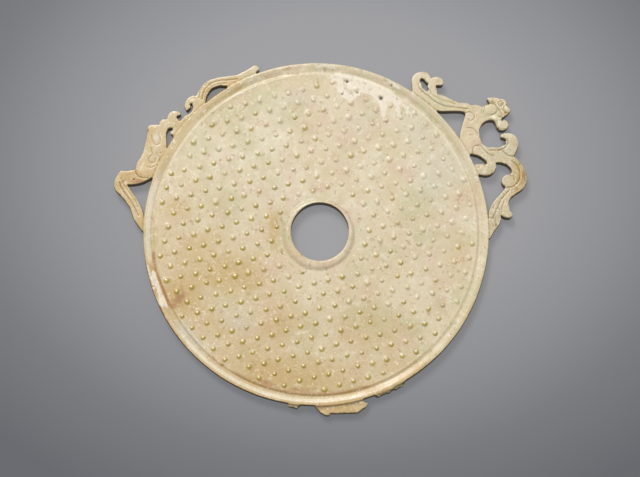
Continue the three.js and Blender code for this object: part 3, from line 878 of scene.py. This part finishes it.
def face_height(x, y, edge):
    radius, angle = polar(x, y)
    stub, beyond, carved = is_stub(x, y), radius > DISC_RADIUS, radius > DISC_RADIUS + 0.2
    rim_arris = np.minimum(rounding(DISC_RADIUS - radius, ARRIS), 0.45)
    height = np.where(beyond, np.where(stub, STUB_TOP, FLANGE_TOP), disc_height(x, y) - rim_arris)
    parted = (beyond & ~stub) * (1 - worn_share(angle))
    height -= GROOVE * parted * bell(radius - DISC_RADIUS, 0.15, 0.3)
    broken = stub * (0.26 * noise(x, y, 2, 9) + 0.08 * noise(x, y, 0.7, 10))
    height += swell_height(x, y) + carved * (0.04 * noise(x, y, 3.1, 8) + broken - line_cut(x, y))
    round_radius = np.where(carved, CARVED_ARRIS, ARRIS)
    round_radius = np.where(collar_reach(x, y) < 16, COLLAR_ARRIS, round_radius)
    return height - rounding(edge / round_radius, 1) * round_radius - chip_depth(x, y)


def back_height(x, y, edge):
    """As the face, with lower bosses and no engraving, measured up from the floor."""
    radius, collar, field = np.hypot(x, y), collar_reach(x, y), in_field(x, y)
    height = section_height(radius, BACK_RIM_SECTION)
    height = np.where(collar < COLLAR_FOOT, section_height(collar, BACK_COLLAR_SECTION), height)
    height[field] -= 0.85 * boss_height(x[field], y[field])
    beyond_height = np.where(is_stub(x, y), STUB_BOTTOM, FLANGE_BOTTOM)
    height = np.where(radius > DISC_RADIUS, beyond_height, height)
    return np.maximum(height + rounding(edge / BACK_ARRIS, 1) * BACK_ARRIS, 0)


shoulder = face_height(np.array([79.0]), np.array([45.0]), np.array([5.0]))
print("height of the right dragon's shoulder:", shoulder.round(2))

# %% Set the relief
WALL_STEP = 0.5  # how far the walls' two middle rows stand from the face and the back
place = np.empty(3 * len(bi.data.vertices))
bi.data.vertices.foreach_get("co", place)
place = place.reshape(-1, 3) / MM
x, y, level = place.T
is_face, is_upper, is_lower, is_back = (np.abs(level - wanted) < 0.1 for wanted in levels)
edge = np.zeros(len(x))
on_sheet = is_face | is_back
edge[on_sheet] = edge_distance(x[on_sheet], y[on_sheet])
edge[edge < 1e-3] = 0
height = np.zeros(len(x))
for part, side_height, step in ((is_face, face_height, 0), (is_upper, face_height, -WALL_STEP),
                                (is_lower, back_height, WALL_STEP), (is_back, back_height, 0)):
    height[part] = side_height(x[part], y[part], edge[part]) + step
height_in_box = np.clip(height, 0, TOP_Z)
place = np.column_stack([x + DISC_CENTRE[0], y + DISC_CENTRE[1], height_in_box]) * MM
bi.data.vertices.foreach_set("co", place.ravel())
bi.data.update()
print("relief in mm:", round(height.min(), 2), "to", round(height.max(), 2))

# %% Faces outward and smooth
SHARP_ANGLE = math.radians(42)  # steeper bends than this stay crisp
bpy.ops.object.select_all(action="DESELECT")
bi.select_set(True)
bpy.context.view_layer.objects.active = bi
bpy.ops.object.mode_set(mode="EDIT")
bpy.ops.mesh.select_all(action="SELECT")
bpy.ops.mesh.quads_convert_to_tris()
bpy.ops.mesh.normals_make_consistent(inside=False)
bpy.ops.object.mode_set(mode="OBJECT")
bpy.ops.object.shade_smooth_by_angle(angle=SHARP_ANGLE)
print("triangles:", len(bi.data.polygons))

# %% [markdown]
# ## Where the stone is stained, and where shade and highlights are painted
# Two thousand years in the ground leave their mark on nephrite: iron turns it tan and
# russet, lime bleaches it, and grime stays in the cuts. Beside these stains, some marks are
# painted shade and painted highlights that follow the relief. An image could be painted on, but
# these marks follow the carving, so each kind is stored as a number on the mesh's points,
# which the material reads by name. A patch is soft here, and the material breaks up its edge.

# %% Tan and russet patches
# Each is [x, y, half length, half width, turn in degrees, strength].
TAN = [
    [-45, -20, 17, 9, 12, 0.7], [-60, -13, 9, 7, 0, 0.4], [-67, -32, 9, 9, 0, 1],
    [-34, -25, 9, 6, 0, 0.4], [-18, -46, 12, 9, 0, 0.4], [-22, -70, 20, 8, -8, 0.75],
    [2, -72, 16, 7, 0, 0.5], [-70, 12, 8, 6, 0, 0.4], [70, -8, 8, 13, 0, 0.4],
    [30, -46, 16, 12, 0, 0.25], [12, -88, 16, 4, 0, 0.9], [-42, 76, 9, 3, 30, 0.5],
    [-90, 27, 9, 5, 0, 1], [101, 28, 4, 8, 0, 0.8], [20, -79, 16, 4, 8, 0.5],
    [-21, 2, 3, 9, 0, 0.7], [-46, -48, 10, 5, -40, 0.3], [-52, -3, 10, 7, 0, 0.3],
    [-56, 70, 3, 6, 0, 0.4], [-87.5, 5, 2, 5, 0, 0.7], [-98, 24, 3, 4, 0, 0.8],
    [-93, 14, 4, 10, -25, 0.5], [-66, 57, 5, 3, 45, 0.6], [-82, 51, 3, 4, 0, 0.4],
    [40, -66, 12, 8, 30, 0.25], [-84, 45, 2, 6, 0, 0.5], [95, 59.4, 2, 2, 0, 0.7],
    [58, 62, 8, 3, -30, 0.3],
]
RUSSET = [
    [-67.5, -33, 5, 3.6, 50, 0.85], [-71, -36.6, 1.8, 2.6, 40, 0.8],
    [-77.6, -38.4, 2.2, 1.6, 60, 1], [-25, -74.4, 9, 1.7, -20, 0.8], [-8, -78, 9, 1.6, -5, 0.75],
    [5, -79, 6, 1.2, 3, 0.6], [-88, 25.2, 7, 1.7, -12, 0.95], [103.7, 28.5, 1.3, 4.4, 0, 1],
    [100, 21.6, 2.4, 1.2, 50, 0.7], [85, 28.8, 2.8, 0.8, 0, 0.9], [95, 60.6, 1.2, 1, 0, 0.75],
    [54, 80.8, 3, 0.8, 0, 0.5], [-14.6, 83, 3.4, 1.1, 10, 0.6], [-84.2, 51.6, 1, 1.8, 0, 0.7],
    [-36, -26, 5, 2.2, 10, 0.3], [3, -86.8, 6, 1, 0, 0.6], [-11, -86.6, 3, 0.9, 0, 0.6],
    [21.5, 6.8, 1.5, 1.8, 0, 0.7], [-0.5, 21.4, 4.6, 1.4, 0, 0.6], [-20, 5.4, 2, 2.8, 0, 0.5],
    [-97.6, 24, 1, 4, 0, 0.5], [90.6, 42.2, 3.2, 0.5, 0, 0.5],
]
print(len(TAN), "tan patches and", len(RUSSET), "russet ones")

# %% Olive and cool patches
# The second patch is painted shade, on the chamfer at the top of the round opening, which faces the
# foot; the rest are stains.
OLIVE = [
    [88, 65.9, 2, 0.7, -25, 1], [88.2, 57, 2.6, 0.8, -10, 1], [92.8, 65.2, 0.9, 0.9, 0, 0.9],
    [95.4, 64.6, 0.8, 1.1, 0, 0.8], [79.4, 39, 2.4, 0.7, -35, 1], [101.6, 34.3, 0.9, 1.6, -30, 0.9],
    [102.2, 24.6, 0.7, 1.2, 0, 0.8], [89.6, 3.6, 1.4, 1.6, 0, 0.8], [-46, -65.8, 1.4, 0.9, 0, 1],
    [50.3, 59.3, 1.4, 0.9, 0, 0.7], [-50, 55, 1.6, 2, 0, 0.6], [-17, 6, 0.8, 3, 10, 0.7],
    [-12, -16.6, 3, 0.7, -45, 0.6], [27.6, 72, 1.7, 0.9, 0, 0.7], [93.6, 57.4, 1, 0.6, 0, 0.7],
    [93.2, 54, 2.4, 2.4, 0, 0.4], [94, 18.5, 3, 3, 0, 0.4], [99, 44, 2, 4, 0, 0.25],
]
COOL = [
    [-8, 68, 16, 8, 0, 0.6], [62, 30, 18, 15, 30, 0.7], [50, 52, 13, 10, -40, 0.6],
    [-64, -49, 8, 4, -45, 0.7], [-38, -44, 14, 9, -20, 0.65], [95, 42, 4, 4, 0, 0.8],
    [89.6, 8, 3, 8, 0, 0.6], [20, 56, 16, 10, 0, 0.4], [-61, -53, 2.4, 9, 42, 0.9],
    [58, 6, 14, 12, 0, 0.3], [-80, 48, 3, 4, 0, 0.8], [22, -20, 12, 10, 0, 0.2],
]


def patch_strength(x, y, patches):
    """All the soft patches together at each place, from 0 to 1."""
    clear = np.ones(len(x))
    for *patch, most in patches:
        clear *= 1 - most * np.exp(-1.1 * patch_reach(x, y, *patch))
    return 1 - clear


print(len(OLIVE), "olive patches and", len(COOL), "cool ones")

# %% Streaks of bleached stone
# Lime has gone in under the rim at the upper right and run down in fingers, and it whitens
# the long chip on the left. Each is a line of points, its half width and its strength.
CHALK = [
    ([[9, 79], [14, 78.4], [19.5, 77.4], [27, 74.8], [36, 70.4], [41, 66]], 3, 1),
    ([[22, 75.8], [30, 72.6], [37, 68.6]], 4, 1),
    ([[13, 77], [12.2, 73], [14, 70.2], [17.6, 68.4], [20.6, 70]], 2.4, 0.95),
    ([[15, 74.6], [20, 73.4], [25, 73.4]], 2.4, 0.95),
    ([[21, 72.2], [27.4, 70.8], [31, 67.8], [33.2, 63.4], [33.7, 59.2]], 1.6, 0.9),
    ([[36, 69], [35, 65.6], [34, 62]], 2, 0.85),
    ([[39, 68], [40.6, 64.4], [41.4, 60.2]], 1.9, 0.75),
    ([[43.6, 64.4], [44.8, 62.4], [46.2, 60.2]], 1, 1), ([[46.4, 63.6], [44.8, 62]], 0.8, 1),
    ([[-83.4, -16.4], [-82.4, -20.6], [-80.4, -26]], 0.7, 0.95),
    ([[-77.6, -28.6], [-75.4, -33.6], [-73.9, -37]], 1, 0.95),
    ([[-80.6, -20.4], [-78.8, -26], [-77.2, -31], [-76, -36.2]], 1.4, 1),
    ([[37.4, 75.8], [39.6, 74.2], [42, 72.8]], 1.1, 0.9), ([[95.5, 62.9], [96.2, 62.2]], 0.7, 0.7),
    ([[0, 83.6], [4, 84.6], [9, 83]], 1.2, 0.7), ([[-4, -49], [-10, -50.5]], 1.2, 0.6),
    ([[-72, 20], [-74, 28]], 2, 0.5),
]
# Iron has stained the inner edge of the chip, and of the rim below it.
RUST = [
    ([[-80.8, -9.6], [-80, -17], [-77.6, -24], [-75, -30], [-72.8, -35.6]], 0.9, 1),
    ([[-77, -37.4], [-75.2, -41]], 0.9, 0.9),
    ([[-73.6, -43.8], [-70.6, -48.6], [-67, -53.2]], 0.8, 0.7),
]


def streak_strength(x, y, streaks):
    """The strongest streak at each place: full along its line, none past its half width."""
    strength = np.zeros(len(x))
    for points, width, most in streaks:
        away = line_distance(x, y, smooth_line(points, 4)) / width
        strength = np.maximum(strength, most * (1 - smooth_step(away, 0.3, 1.15)))
    return strength


print(len(CHALK), "bleached streaks and", len(RUST), "rusty ones")

# %% Marks that run along the rim
# Each is [inner radius, outer radius, first angle, last angle, strength].
# The first list is painted highlight: on the rim's crest, its outer edge and slopes that face the
# light.
PAINTED_HIGHLIGHT_RIM = [
    [79.4, 80.8, 8, 62, 0.42], [79.5, 80.5, 62, 104, 0.15], [85.1, 85.8, 20, 122, 0.4],
    [82.4, 84.4, 214, 290, 0.5], [84.4, 85.6, -12, 20, 0.3], [82.4, 84.6, 158, 194, 0.5],
]
TAN_RIM = [
    [82, 86, 272, 312, 0.5], [84.4, 86, 300, 350, 0.3], [81, 86, 186, 206, 0.4],
    [84.6, 86, 206, 290, 0.5], [81, 86, 112, 160, 0.45], [84.8, 87, 114, 160, 0.7],
]
RUSSET_RIM = [
    [79.6, 81, 206, 236, 0.35], [79.2, 81.2, 236, 292, 0.6], [85.3, 86, 240, 290, 0.4],
]
# The olive rim marks on the inner slope from 24° to 58° and from 112° to 140° are painted shade,
# where the slope faces away from the light.
RIM_OLIVE_AND_SHADE = [
    [80.9, 83.4, 24, 58, 0.4], [81.6, 84, 112, 140, 0.5], [85.2, 86.6, 294, 318, 0.8],
    [76, 79.3, 22, 60, 0.3], [85.2, 86.6, 118, 146, 0.5],
]


def rim_marks(x, y, marks):
    """The strongest mark at each place, with soft sides and ends."""
    radius, angle = polar(x, y)
    strength = np.zeros(len(x))
    for inner, outer, first, last, most in marks:
        along_rim = (angle - first) % 360
        ends = between(along_rim, 0, 5, last - first - 5, last - first)
        sides = between(radius, inner - 0.15, inner + 0.25, outer - 0.25, outer + 0.15)
        strength = np.maximum(strength, most * ends * sides)
    return strength


print(len(PAINTED_HIGHLIGHT_RIM + TAN_RIM + RUSSET_RIM + RIM_OLIVE_AND_SHADE), "marks on the rim")

# %% Gold, painted shade and painted highlights on the bosses
# Each boss is golden by its own share: more where the ground is tan, less where it is pale.
# The gold is laid mostly on its lower side as painted shade, and its top has a painted highlight.
boss_x, boss_y = bosses[:, 0], bosses[:, 1]
boss_gold = 0.5 - 0.0045 * (boss_x + boss_y) + 0.3 * patch_strength(boss_x, boss_y, TAN)
boss_gold -= 0.35 * streak_strength(boss_x, boss_y, CHALK)
boss_gold -= 0.3 * patch_strength(boss_x, boss_y, COOL)
boss_gold = np.clip(boss_gold + np.random.RandomState(31).uniform(-0.3, 0.3, len(bosses)), 0.08, 1)


def boss_gold_shade_and_highlight(x, y):
    """Shares of gold, most on the lower side as painted shade, and of the painted highlight, from
    the nearest boss.
    """
    nearest, right, up, share = boss_share(x, y)
    # Painted shade: the gold is strongest on each boss's lower side, away from the light.
    lower = smooth_step(0.35 * right - up, -0.55, 0.5)
    gold_and_shade = boss_gold[nearest] * (1 - smooth_step(share, 0.85, 1.3)) * (0.3 + 0.7 * lower)
    # Painted highlight: a pale spot above and left of each boss's middle, towards the light.
    highlight_spot = np.hypot(right + 0.12, up - 0.22)
    return gold_and_shade, (0.3 + 0.7 * boss_gold[nearest]) * (1 - smooth_step(highlight_spot, 0.1, 0.62))


print("gold shares from", round(boss_gold.min(), 2), "to", round(boss_gold.max(), 2))

# %% Grime with painted shade, and painted highlights on lips
def grime_and_shade_share(x, y, cut):
    """Grime in the engraved lines and along the seam, with painted shade at the lower side of
    each boss's foot, at the foot of the collar's left half, and in the gutter below the top."""
    radius, angle = polar(x, y)
    _, _, up, share = boss_share(x, y)
    # Painted shade: the feet of the bosses darken on their lower side.
    boss_feet_shade = 0.4 * bell(share, 1, 0.2) * smooth_step(-up, -0.1, 0.9) * in_field(x, y, 0.6)
    # Painted shade: a dark line at the foot of the collar, on its left half.
    collar_foot_shade = 0.5 * bell(collar_reach(x, y), 18.1, 0.45) * (x < BORE_CENTRE[0] + 4)
    # Painted shade: the gutter darkens, except along the top of the rim.
    gutter = 0.3 * bell(radius, 81.3, 0.35) * (y < 20)
    seam = 0.5 * bell(radius, 86.15, 0.35) * (1 - worn_share(angle) * (y > 0)) * (radius > 86)
    return np.maximum.reduce([np.clip(1.5 * cut, 0, 0.6), boss_feet_shade, collar_foot_shade, gutter, seam])


def painted_lip_highlight(x, y):
    """A painted highlight: a pale lip just outside each engraved line, on both of its sides."""
    return beside_lines(x, y, 2, lambda away, _: 0.45 * bell(away, 0.75, 0.25))


line_start = on_lines[:, :1]
print("lip 0.75 mm above a line's start:", painted_lip_highlight(line_start[0], line_start[1] + 0.75).round(2))

# %% Store marks on the mesh
def store(name, *marks):
    """Keeps the strongest of the marks at each point, under a name that the material reads."""
    values = np.clip(np.maximum.reduce(marks), 0, 1)
    layer = bi.data.attributes.new(name, "FLOAT", "POINT")
    layer.data.foreach_set("value", values)
    print(name, "covers", round(100 * float((values > 0.3).mean()), 1), "% of the points")


_, faces_foot = edge_distance(x, y, with_facing=True)
downward = np.clip(faces_foot, 0, 1)
on_field, off_disc = in_field(x, y, 0.4), np.hypot(x, y) > DISC_RADIUS + 0.1
print("on the field:", on_field.sum(), "points, off the disc:", off_disc.sum())

# %% Store the soil's colours, and painted shade under the limbs' edges
# The limbs are handled less than the disc, and have kept more of the soil's tint.
left_limb, lower_limb = off_disc * (x < -40), off_disc * (x > 85) * smooth_step(y, 52, 46)
warmer = 0.4 * smooth_step(-0.45 * x - 0.9 * y, -60, 75)
warmer = np.where(off_disc, 0.25 + 0.22 * left_limb, warmer)
tan_clear = (1 - warmer) * (1 - patch_strength(x, y, TAN)) * (1 - rim_marks(x, y, TAN_RIM))
store("tan", 1 - tan_clear)
store("russet", patch_strength(x, y, RUSSET), rim_marks(x, y, RUSSET_RIM),
      streak_strength(x, y, RUST))
store("chalk", streak_strength(x, y, CHALK))
store("cool", patch_strength(x, y, COOL))
# Painted shade: olive along the limbs' edges that face the foot, away from the light.
under_edge_shade = is_face * off_disc * smooth_step(downward, 0.25, 0.7)
under_edge_shade *= 1 - smooth_step(edge, 0.5, 1.6)
under_edge_shade *= 0.45 + 0.5 * smooth_step(noise(x, y, 3, 41), -0.5, 0.4)
store("olive_and_shade", patch_strength(x, y, OLIVE), rim_marks(x, y, RIM_OLIVE_AND_SHADE), under_edge_shade,
      0.42 * lower_limb)

# %% Store gold with painted shade, painted highlights, and grime with painted shade
gold_and_shade, boss_top_highlight = boss_gold_shade_and_highlight(x, y)
cut = line_cut(x, y)
# Gold, laid mostly on the lower side of each boss as painted shade.
store("gold_and_shade", on_field * gold_and_shade)
# Painted highlights: boss tops, rim crests and lit slopes, and the lips beside engraved lines.
lip_highlight = off_disc * (cut < 0.02) * painted_lip_highlight(x, y)
store("painted_highlight", 0.9 * on_field * boss_top_highlight, rim_marks(x, y, PAINTED_HIGHLIGHT_RIM), lip_highlight)
store("grime_and_shade", grime_and_shade_share(x, y, cut))

# %% Store painted shade on edges and walls, and dark dirt in the pits
# Painted shade: a dark band along edges of the face that face the foot, walls darker the more they
# face the foot, and a darker band round the back's edges. The pits hold real dark dirt.
near_edge = 1 - smooth_step(edge, 0.05 + 0.25 * downward, 0.2 + 0.7 * downward)
rim_shade = near_edge * smooth_step(faces_foot, -0.2, 0.4)
wall_shade = np.where(is_face, rim_shade, np.where(is_back, 0.5 * near_edge, 0.3 + 0.4 * downward))
pit = np.max([min(1, 2 * depth) * np.exp(-1.1 * (np.hypot(x - px, y - py) / width) ** 2)
              for px, py, width, depth in PITS], axis=0)
store("shade_and_pit_dirt", wall_shade, 0.7 * pit * is_face)

# %% [markdown]
# ## Colours and nodes
# Colours are picked as sRGB hex values, as on a paint chart, and turned to the linear values
# that the renderer works in. One helper adds any kind of node, so that every material below
# reads as a list of what is joined to what.

# %% Colours
def colour(hex_value):
    """An sRGB hex value as linear red, green, blue and full cover."""
    parts = [((hex_value >> shift) & 255) / 255 for shift in (16, 8, 0)]
    linear = [c / 12.92 if c <= 0.04045 else ((c + 0.055) / 1.055) ** 2.4 for c in parts]
    return (*linear, 1.0)


print("mid grey is", round(colour(0x808080)[0], 3), "in linear light")

# %% Materials and nodes
def add_node(material, kind, settings=(), links=()):
    """A node with its settings, by property or socket name, and its links, socket to output."""
    node = material.node_tree.nodes.new("ShaderNode" + kind)
    settings, links = dict(settings), dict(links)
    for name in sorted(settings, key=lambda key: isinstance(key, int) or not hasattr(node, key)):
        if isinstance(name, str) and hasattr(node, name):
            setattr(node, name, settings[name])
        else:
            node.inputs[name].default_value = settings[name]
    for name, output in links.items():
        material.node_tree.links.new(output, node.inputs[name])
    return node


def new_material(name):
    material = bpy.data.materials.new(name)
    material.use_nodes = True
    material.node_tree.nodes.clear()
    return material


def set_ramp(node, stops):
    """Gives a colour ramp these stops, as (position, hex value)."""
    while len(node.color_ramp.elements) < len(stops):
        node.color_ramp.elements.new(0.5)
    for element, (position, hex_value) in zip(node.color_ramp.elements, stops):
        element.position, element.color = position, colour(hex_value)


print("materials so far:", len(bpy.data.materials))

# %% [markdown]
# ## Nephrite
# Nephrite is a tough felt of fine amphibole fibres, here pale grey-green to cream, ground and
# polished with sand. It has a soft, waxy gloss: a refractive index near 1.61, a roughness
# that burial has dulled a little, and some light that goes in and comes out again nearby.
# Its look is made of layers, each laid over the last: the stone's own clouds, the stored
# stains, pale and dark flecks, then gold and grime on the carving, with painted shade and painted
# highlights.

# %% Nephrite: clouds, fibres and stored marks
nephrite = new_material("nephrite_polished_weathered")
where = add_node(nephrite, "TexCoord").outputs["Object"]
# Each is (size of the lumps in mm, detail, roughness, seed). Fibre bundles are about half a
# millimetre wide. The finest noise is drawn a little coarser than that, so that it shows.
CLOUDS = {
    "wide": (30, 4, 0.6, 0), "middling": (8, 5, 0.6, 2), "fine": (1.6, 4, 0.7, 3),
    "mauve": (12, 5, 0.6, 5), "green": (15, 5, 0.6, 7), "pool": (6, 5, 0.65, 9),
    "fleck": (1.5, 3, 0.8, 11), "speck": (2.1, 3, 0.8, 15), "swirl": (7, 3, 0.55, 17),
}
shares = {}
for name, (size_mm, detail, roughness, seed) in CLOUDS.items():
    settings = {"noise_dimensions": "4D", "W": seed, "Scale": 1 / (size_mm * MM), "Detail": detail,
                "Roughness": roughness}
    shares[name] = add_node(nephrite, "TexNoise", settings, {"Vector": where}).outputs["Fac"]
for name in ("tan", "russet", "chalk", "cool", "olive_and_shade", "gold_and_shade", "painted_highlight", "grime_and_shade", "shade_and_pit_dirt"):
    shares[name] = add_node(nephrite, "Attribute", {"attribute_name": name}).outputs["Fac"]
# A vein is where the swirl passes through its middle value.
vein = add_node(nephrite, "Math", {"operation": "COMPARE", 1: 0.5, 2: 0.013}, {0: shares["swirl"]})
shares["vein"] = vein.outputs[0]
print(len(shares), "shares for the layers to use")

# %% Nephrite: layers of colour
ground = add_node(nephrite, "ValToRGB", links={"Fac": shares["wide"]})
set_ramp(ground, [(0.34, 0xD3C19B), (0.66, 0xDED2B5)])
look = ground.outputs["Color"]
# From the lowest up, each is (colour, stored mark if any, how far the clouds push its edge,
# clouds, none below, full above, most cover).
LAYERS = [
    (0xD2AE96, None, 1, "mauve", 0.47, 0.68, 0.5), (0xBDB88C, None, 1, "green", 0.47, 0.66, 0.5),
    (0xE8DFC8, None, 1, "pool", 0.53, 0.68, 0.5),
    (0xC2A05E, "tan", 0.7, "middling", 0.42, 1.2, 0.8),
    (0xCBC8B4, "cool", 0.7, "middling", 0.5, 1.2, 0.55),
    (0xA36D36, "russet", 0.9, "fine", 0.65, 1.35, 0.8),
    # Olive stains, with painted shade under the limbs' edges, on rim slopes and on the opening's
    # chamfer
    (0x8B7B32, "olive_and_shade", 0.6, "fine", 0.5, 1.15, 0.75),
    (0xEEE3D0, "chalk", 0.9, "fine", 0.72, 1.25, 0.82),
    (0xF7F0DC, None, 1, "fleck", 0.58, 0.66, 0.6), (0xA98C5C, None, 1, "speck", 0.43, 0.34, 0.6),
    (0xF4ECD6, "vein", 0.6, "middling", 1.26, 1.46, 0.5),
    # Gold on the bosses, laid mostly on their lower side as painted shade
    (0xB39E2C, "gold_and_shade", 0.5, "fine", 0.3, 0.95, 0.75),
    # Painted highlights on boss tops, rim crests and the lips beside engraved lines
    (0xFBF4DE, "painted_highlight", 0.5, "fine", 0.4, 1.1, 0.85),
    # Grime in the cuts and seam, with painted shade at the feet of bosses and collar and in the
    # gutter
    (0x77612F, "grime_and_shade", 0.5, "fine", 0.4, 1.2, 0.8),
    # Painted shade on edges and walls that face the foot, and dark dirt in the pits
    (0x2E200C, "shade_and_pit_dirt", 0.4, "fine", 0.35, 0.9, 0.92),
]
for over, mark, push, clouds, none_below, full_above, most in LAYERS:
    share = add_node(nephrite, "Math", {"operation": "MULTIPLY_ADD", 1: push, 2: 0},
                     {0: shares[clouds]} | ({2: shares[mark]} if mark else {})).outputs[0]
    settings = {"interpolation_type": "SMOOTHSTEP", "From Min": none_below, "From Max": full_above,
                "To Max": most}
    cover = add_node(nephrite, "MapRange", settings, {"Value": share}).outputs["Result"]
    laid = add_node(nephrite, "Mix", {"data_type": "RGBA", 7: colour(over)}, {0: cover, 6: look})
    look = laid.outputs[2]
print(len(LAYERS), "layers of colour")

# %% Nephrite: pits and scratches
# Bump carries what is finer than the mesh: pits under a millimetre, and the fine scratches
# that grit left, which run long and thin across the face.
stretch = add_node(nephrite, "Mapping", {"Rotation": (0, 0, math.radians(35)), "Scale": (1, 14, 1)},
                   {"Vector": where})
scratches = add_node(nephrite, "TexNoise", {"Scale": 1 / (9 * MM), "Detail": 3, "Roughness": 0.7},
                     {"Vector": stretch.outputs["Vector"]})
chalky = add_node(nephrite, "Math", {"operation": "MULTIPLY"},
                  {0: shares["chalk"], 1: shares["fleck"]}).outputs[0]


def add_shares(start, terms):
    """The start plus each term's share times its weight."""
    for share, weight in terms:
        start = add_node(nephrite, "Math", {"operation": "MULTIPLY_ADD", 1: weight},
                         {0: share, 2: start}).outputs[0]
    return start


relief = add_shares(scratches.outputs["Fac"],
                    [(shares["fine"], 0.8), (shares["fleck"], 0.35), (chalky, 2)])
bump = add_node(nephrite, "Bump", {"Strength": 0.4, "Distance": 0.1 * MM}, {"Height": relief})
print("nodes so far:", len(nephrite.node_tree.nodes))

# %% Nephrite: polish
dull = add_node(nephrite, "MapRange",
                {"From Min": 0.3, "From Max": 0.7, "To Min": 0.28, "To Max": 0.42},
                {"Value": shares["middling"]})
rough = add_shares(dull.outputs["Result"], [(chalky, 0.6), (shares["shade_and_pit_dirt"], 0.6)])
gloss = add_node(nephrite, "BsdfPrincipled",
                 {"IOR": 1.61, "Subsurface Weight": 0.12, "Subsurface Scale": 1 * MM,
                  "Subsurface Radius": (1.6, 1.1, 0.5)},
                 {"Base Color": look, "Roughness": rough, "Normal": bump.outputs["Normal"]})
add_node(nephrite, "OutputMaterial", links={"Surface": gloss.outputs["BSDF"]})
bi.data.materials.clear()
bi.data.materials.append(nephrite)
print("nodes in the nephrite:", len(nephrite.node_tree.nodes))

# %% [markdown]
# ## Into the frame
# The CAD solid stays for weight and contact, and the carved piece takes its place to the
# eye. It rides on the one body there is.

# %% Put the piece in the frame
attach(bi, "root")
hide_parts("jade_bi")
print(bi.name, "replaces jade_bi")

# %% [markdown]
# ## The floor
# The floor is a grey sheet that partly glows by itself, a painted glow with no lamp below it,
# which takes most of the shadow out of the openings. Its grey is painted darker away from
# the object, a painted falloff of light. A plain white floor would make the jade look dull.
# The grey falls off away from the object. A plain white floor would make the jade look dull.

# %% Floor
FLOOR_SIZE = 4
JUST_BELOW = -0.00005  # so that the carving's back and the sheet are never at one height
OWN_GLOW_SHARE = 0.55  # the share of the floor's brightness that is its own painted glow
bpy.ops.object.select_all(action="DESELECT")
bpy.ops.mesh.primitive_plane_add(size=FLOOR_SIZE, location=(0, 0, JUST_BELOW))
floor = bpy.context.object
floor.name = "floor"
glowing_floor_material = new_material("floor_painted_glow_and_falloff")
sheet_place = add_node(glowing_floor_material, "TexCoord").outputs["Object"]
# Painted falloff: the grey is lightest near the object and darkens outward, a painted pool of
# light.
falloff_map = add_node(glowing_floor_material, "Mapping", {"vector_type": "TEXTURE", "Location": (0.008, 0.036, 0),
                                     "Scale": (0.132, 0.104, 1)}, {"Vector": sheet_place})
away = add_node(glowing_floor_material, "VectorMath", {"operation": "LENGTH"}, {0: falloff_map.outputs["Vector"]})
reach = add_node(glowing_floor_material, "MapRange", {"From Min": 0, "From Max": 2.5},
                 {"Value": away.outputs["Value"]})
painted_falloff_tone = add_node(glowing_floor_material, "ValToRGB", links={"Fac": reach.outputs["Result"]})
set_ramp(painted_falloff_tone, [(0, 0xA4A4A7), (0.3, 0x9D9DA0), (0.44, 0x8D8E92), (0.56, 0x7A7B7F),
                (0.72, 0x68696E), (1, 0x6C6D72)])
grey = painted_falloff_tone.outputs["Color"]
matt = add_node(glowing_floor_material, "BsdfPrincipled", {"Roughness": 0.9}, {"Base Color": grey})
# The glow: the floor gives off light of its own, a painted glow with no lamp behind it.
glow = add_node(glowing_floor_material, "Emission", {"Strength": 1}, {"Color": grey})
both = add_node(glowing_floor_material, "MixShader", {"Fac": OWN_GLOW_SHARE},
                {1: matt.outputs["BSDF"], 2: glow.outputs["Emission"]})
add_node(glowing_floor_material, "OutputMaterial", links={"Surface": both.outputs["Shader"]})
floor.data.materials.append(glowing_floor_material)
print("floor:", floor.dimensions[0], "m across")

# %% [markdown]
# ## Light
# Low relief needs light from one side, or it goes flat. One soft light from beyond the top
# edge, a little to the left, models the bosses and the rim. A wide one overhead and a pale
# room fill the rest, so that no shadow goes black.

# %% Light
MIDDLE = Vector((0, 0, 0))


def soft_light(name, place, size, power):
    """A square area light that faces the middle of the object."""
    bpy.ops.object.light_add(type="AREA", location=place)
    light = bpy.context.object
    light.name = name
    light.data.size, light.data.energy = size, power
    light.rotation_euler = (MIDDLE - Vector(place)).to_track_quat("-Z", "Y").to_euler()
    print(name, power, "W")


soft_light("key_light", (-0.6, 1.3, 1.75), 0.8, 31)
soft_light("ceiling_light", (0, 0.3, 2.2), 2.5, 14)
world = bpy.data.worlds.new("studio")
bpy.context.scene.world = world
world.use_nodes = True
background = world.node_tree.nodes["Background"].inputs
background["Color"].default_value, background["Strength"].default_value = colour(0xFFFFFF), 0.37

# %% [markdown]
# ## Camera
# The camera looks almost straight down, from seven degrees towards the disc's foot. From
# three quarters of a metre the disc shows hardly any perspective, so its circles stay round.

# %% Camera
CAMERA_PLACE, CAMERA_TILT = (-0.0003, -0.0921, 0.75), math.radians(7)
bpy.ops.object.camera_add(location=CAMERA_PLACE, rotation=(CAMERA_TILT, 0, 0))
camera = bpy.context.object
camera.name = "camera"
camera.data.lens, camera.data.sensor_width = 85, 36
bpy.context.scene.camera = camera
bpy.context.scene.view_settings.view_transform = "Standard"
print("camera", round(camera.location.z, 2), "m above the floor")
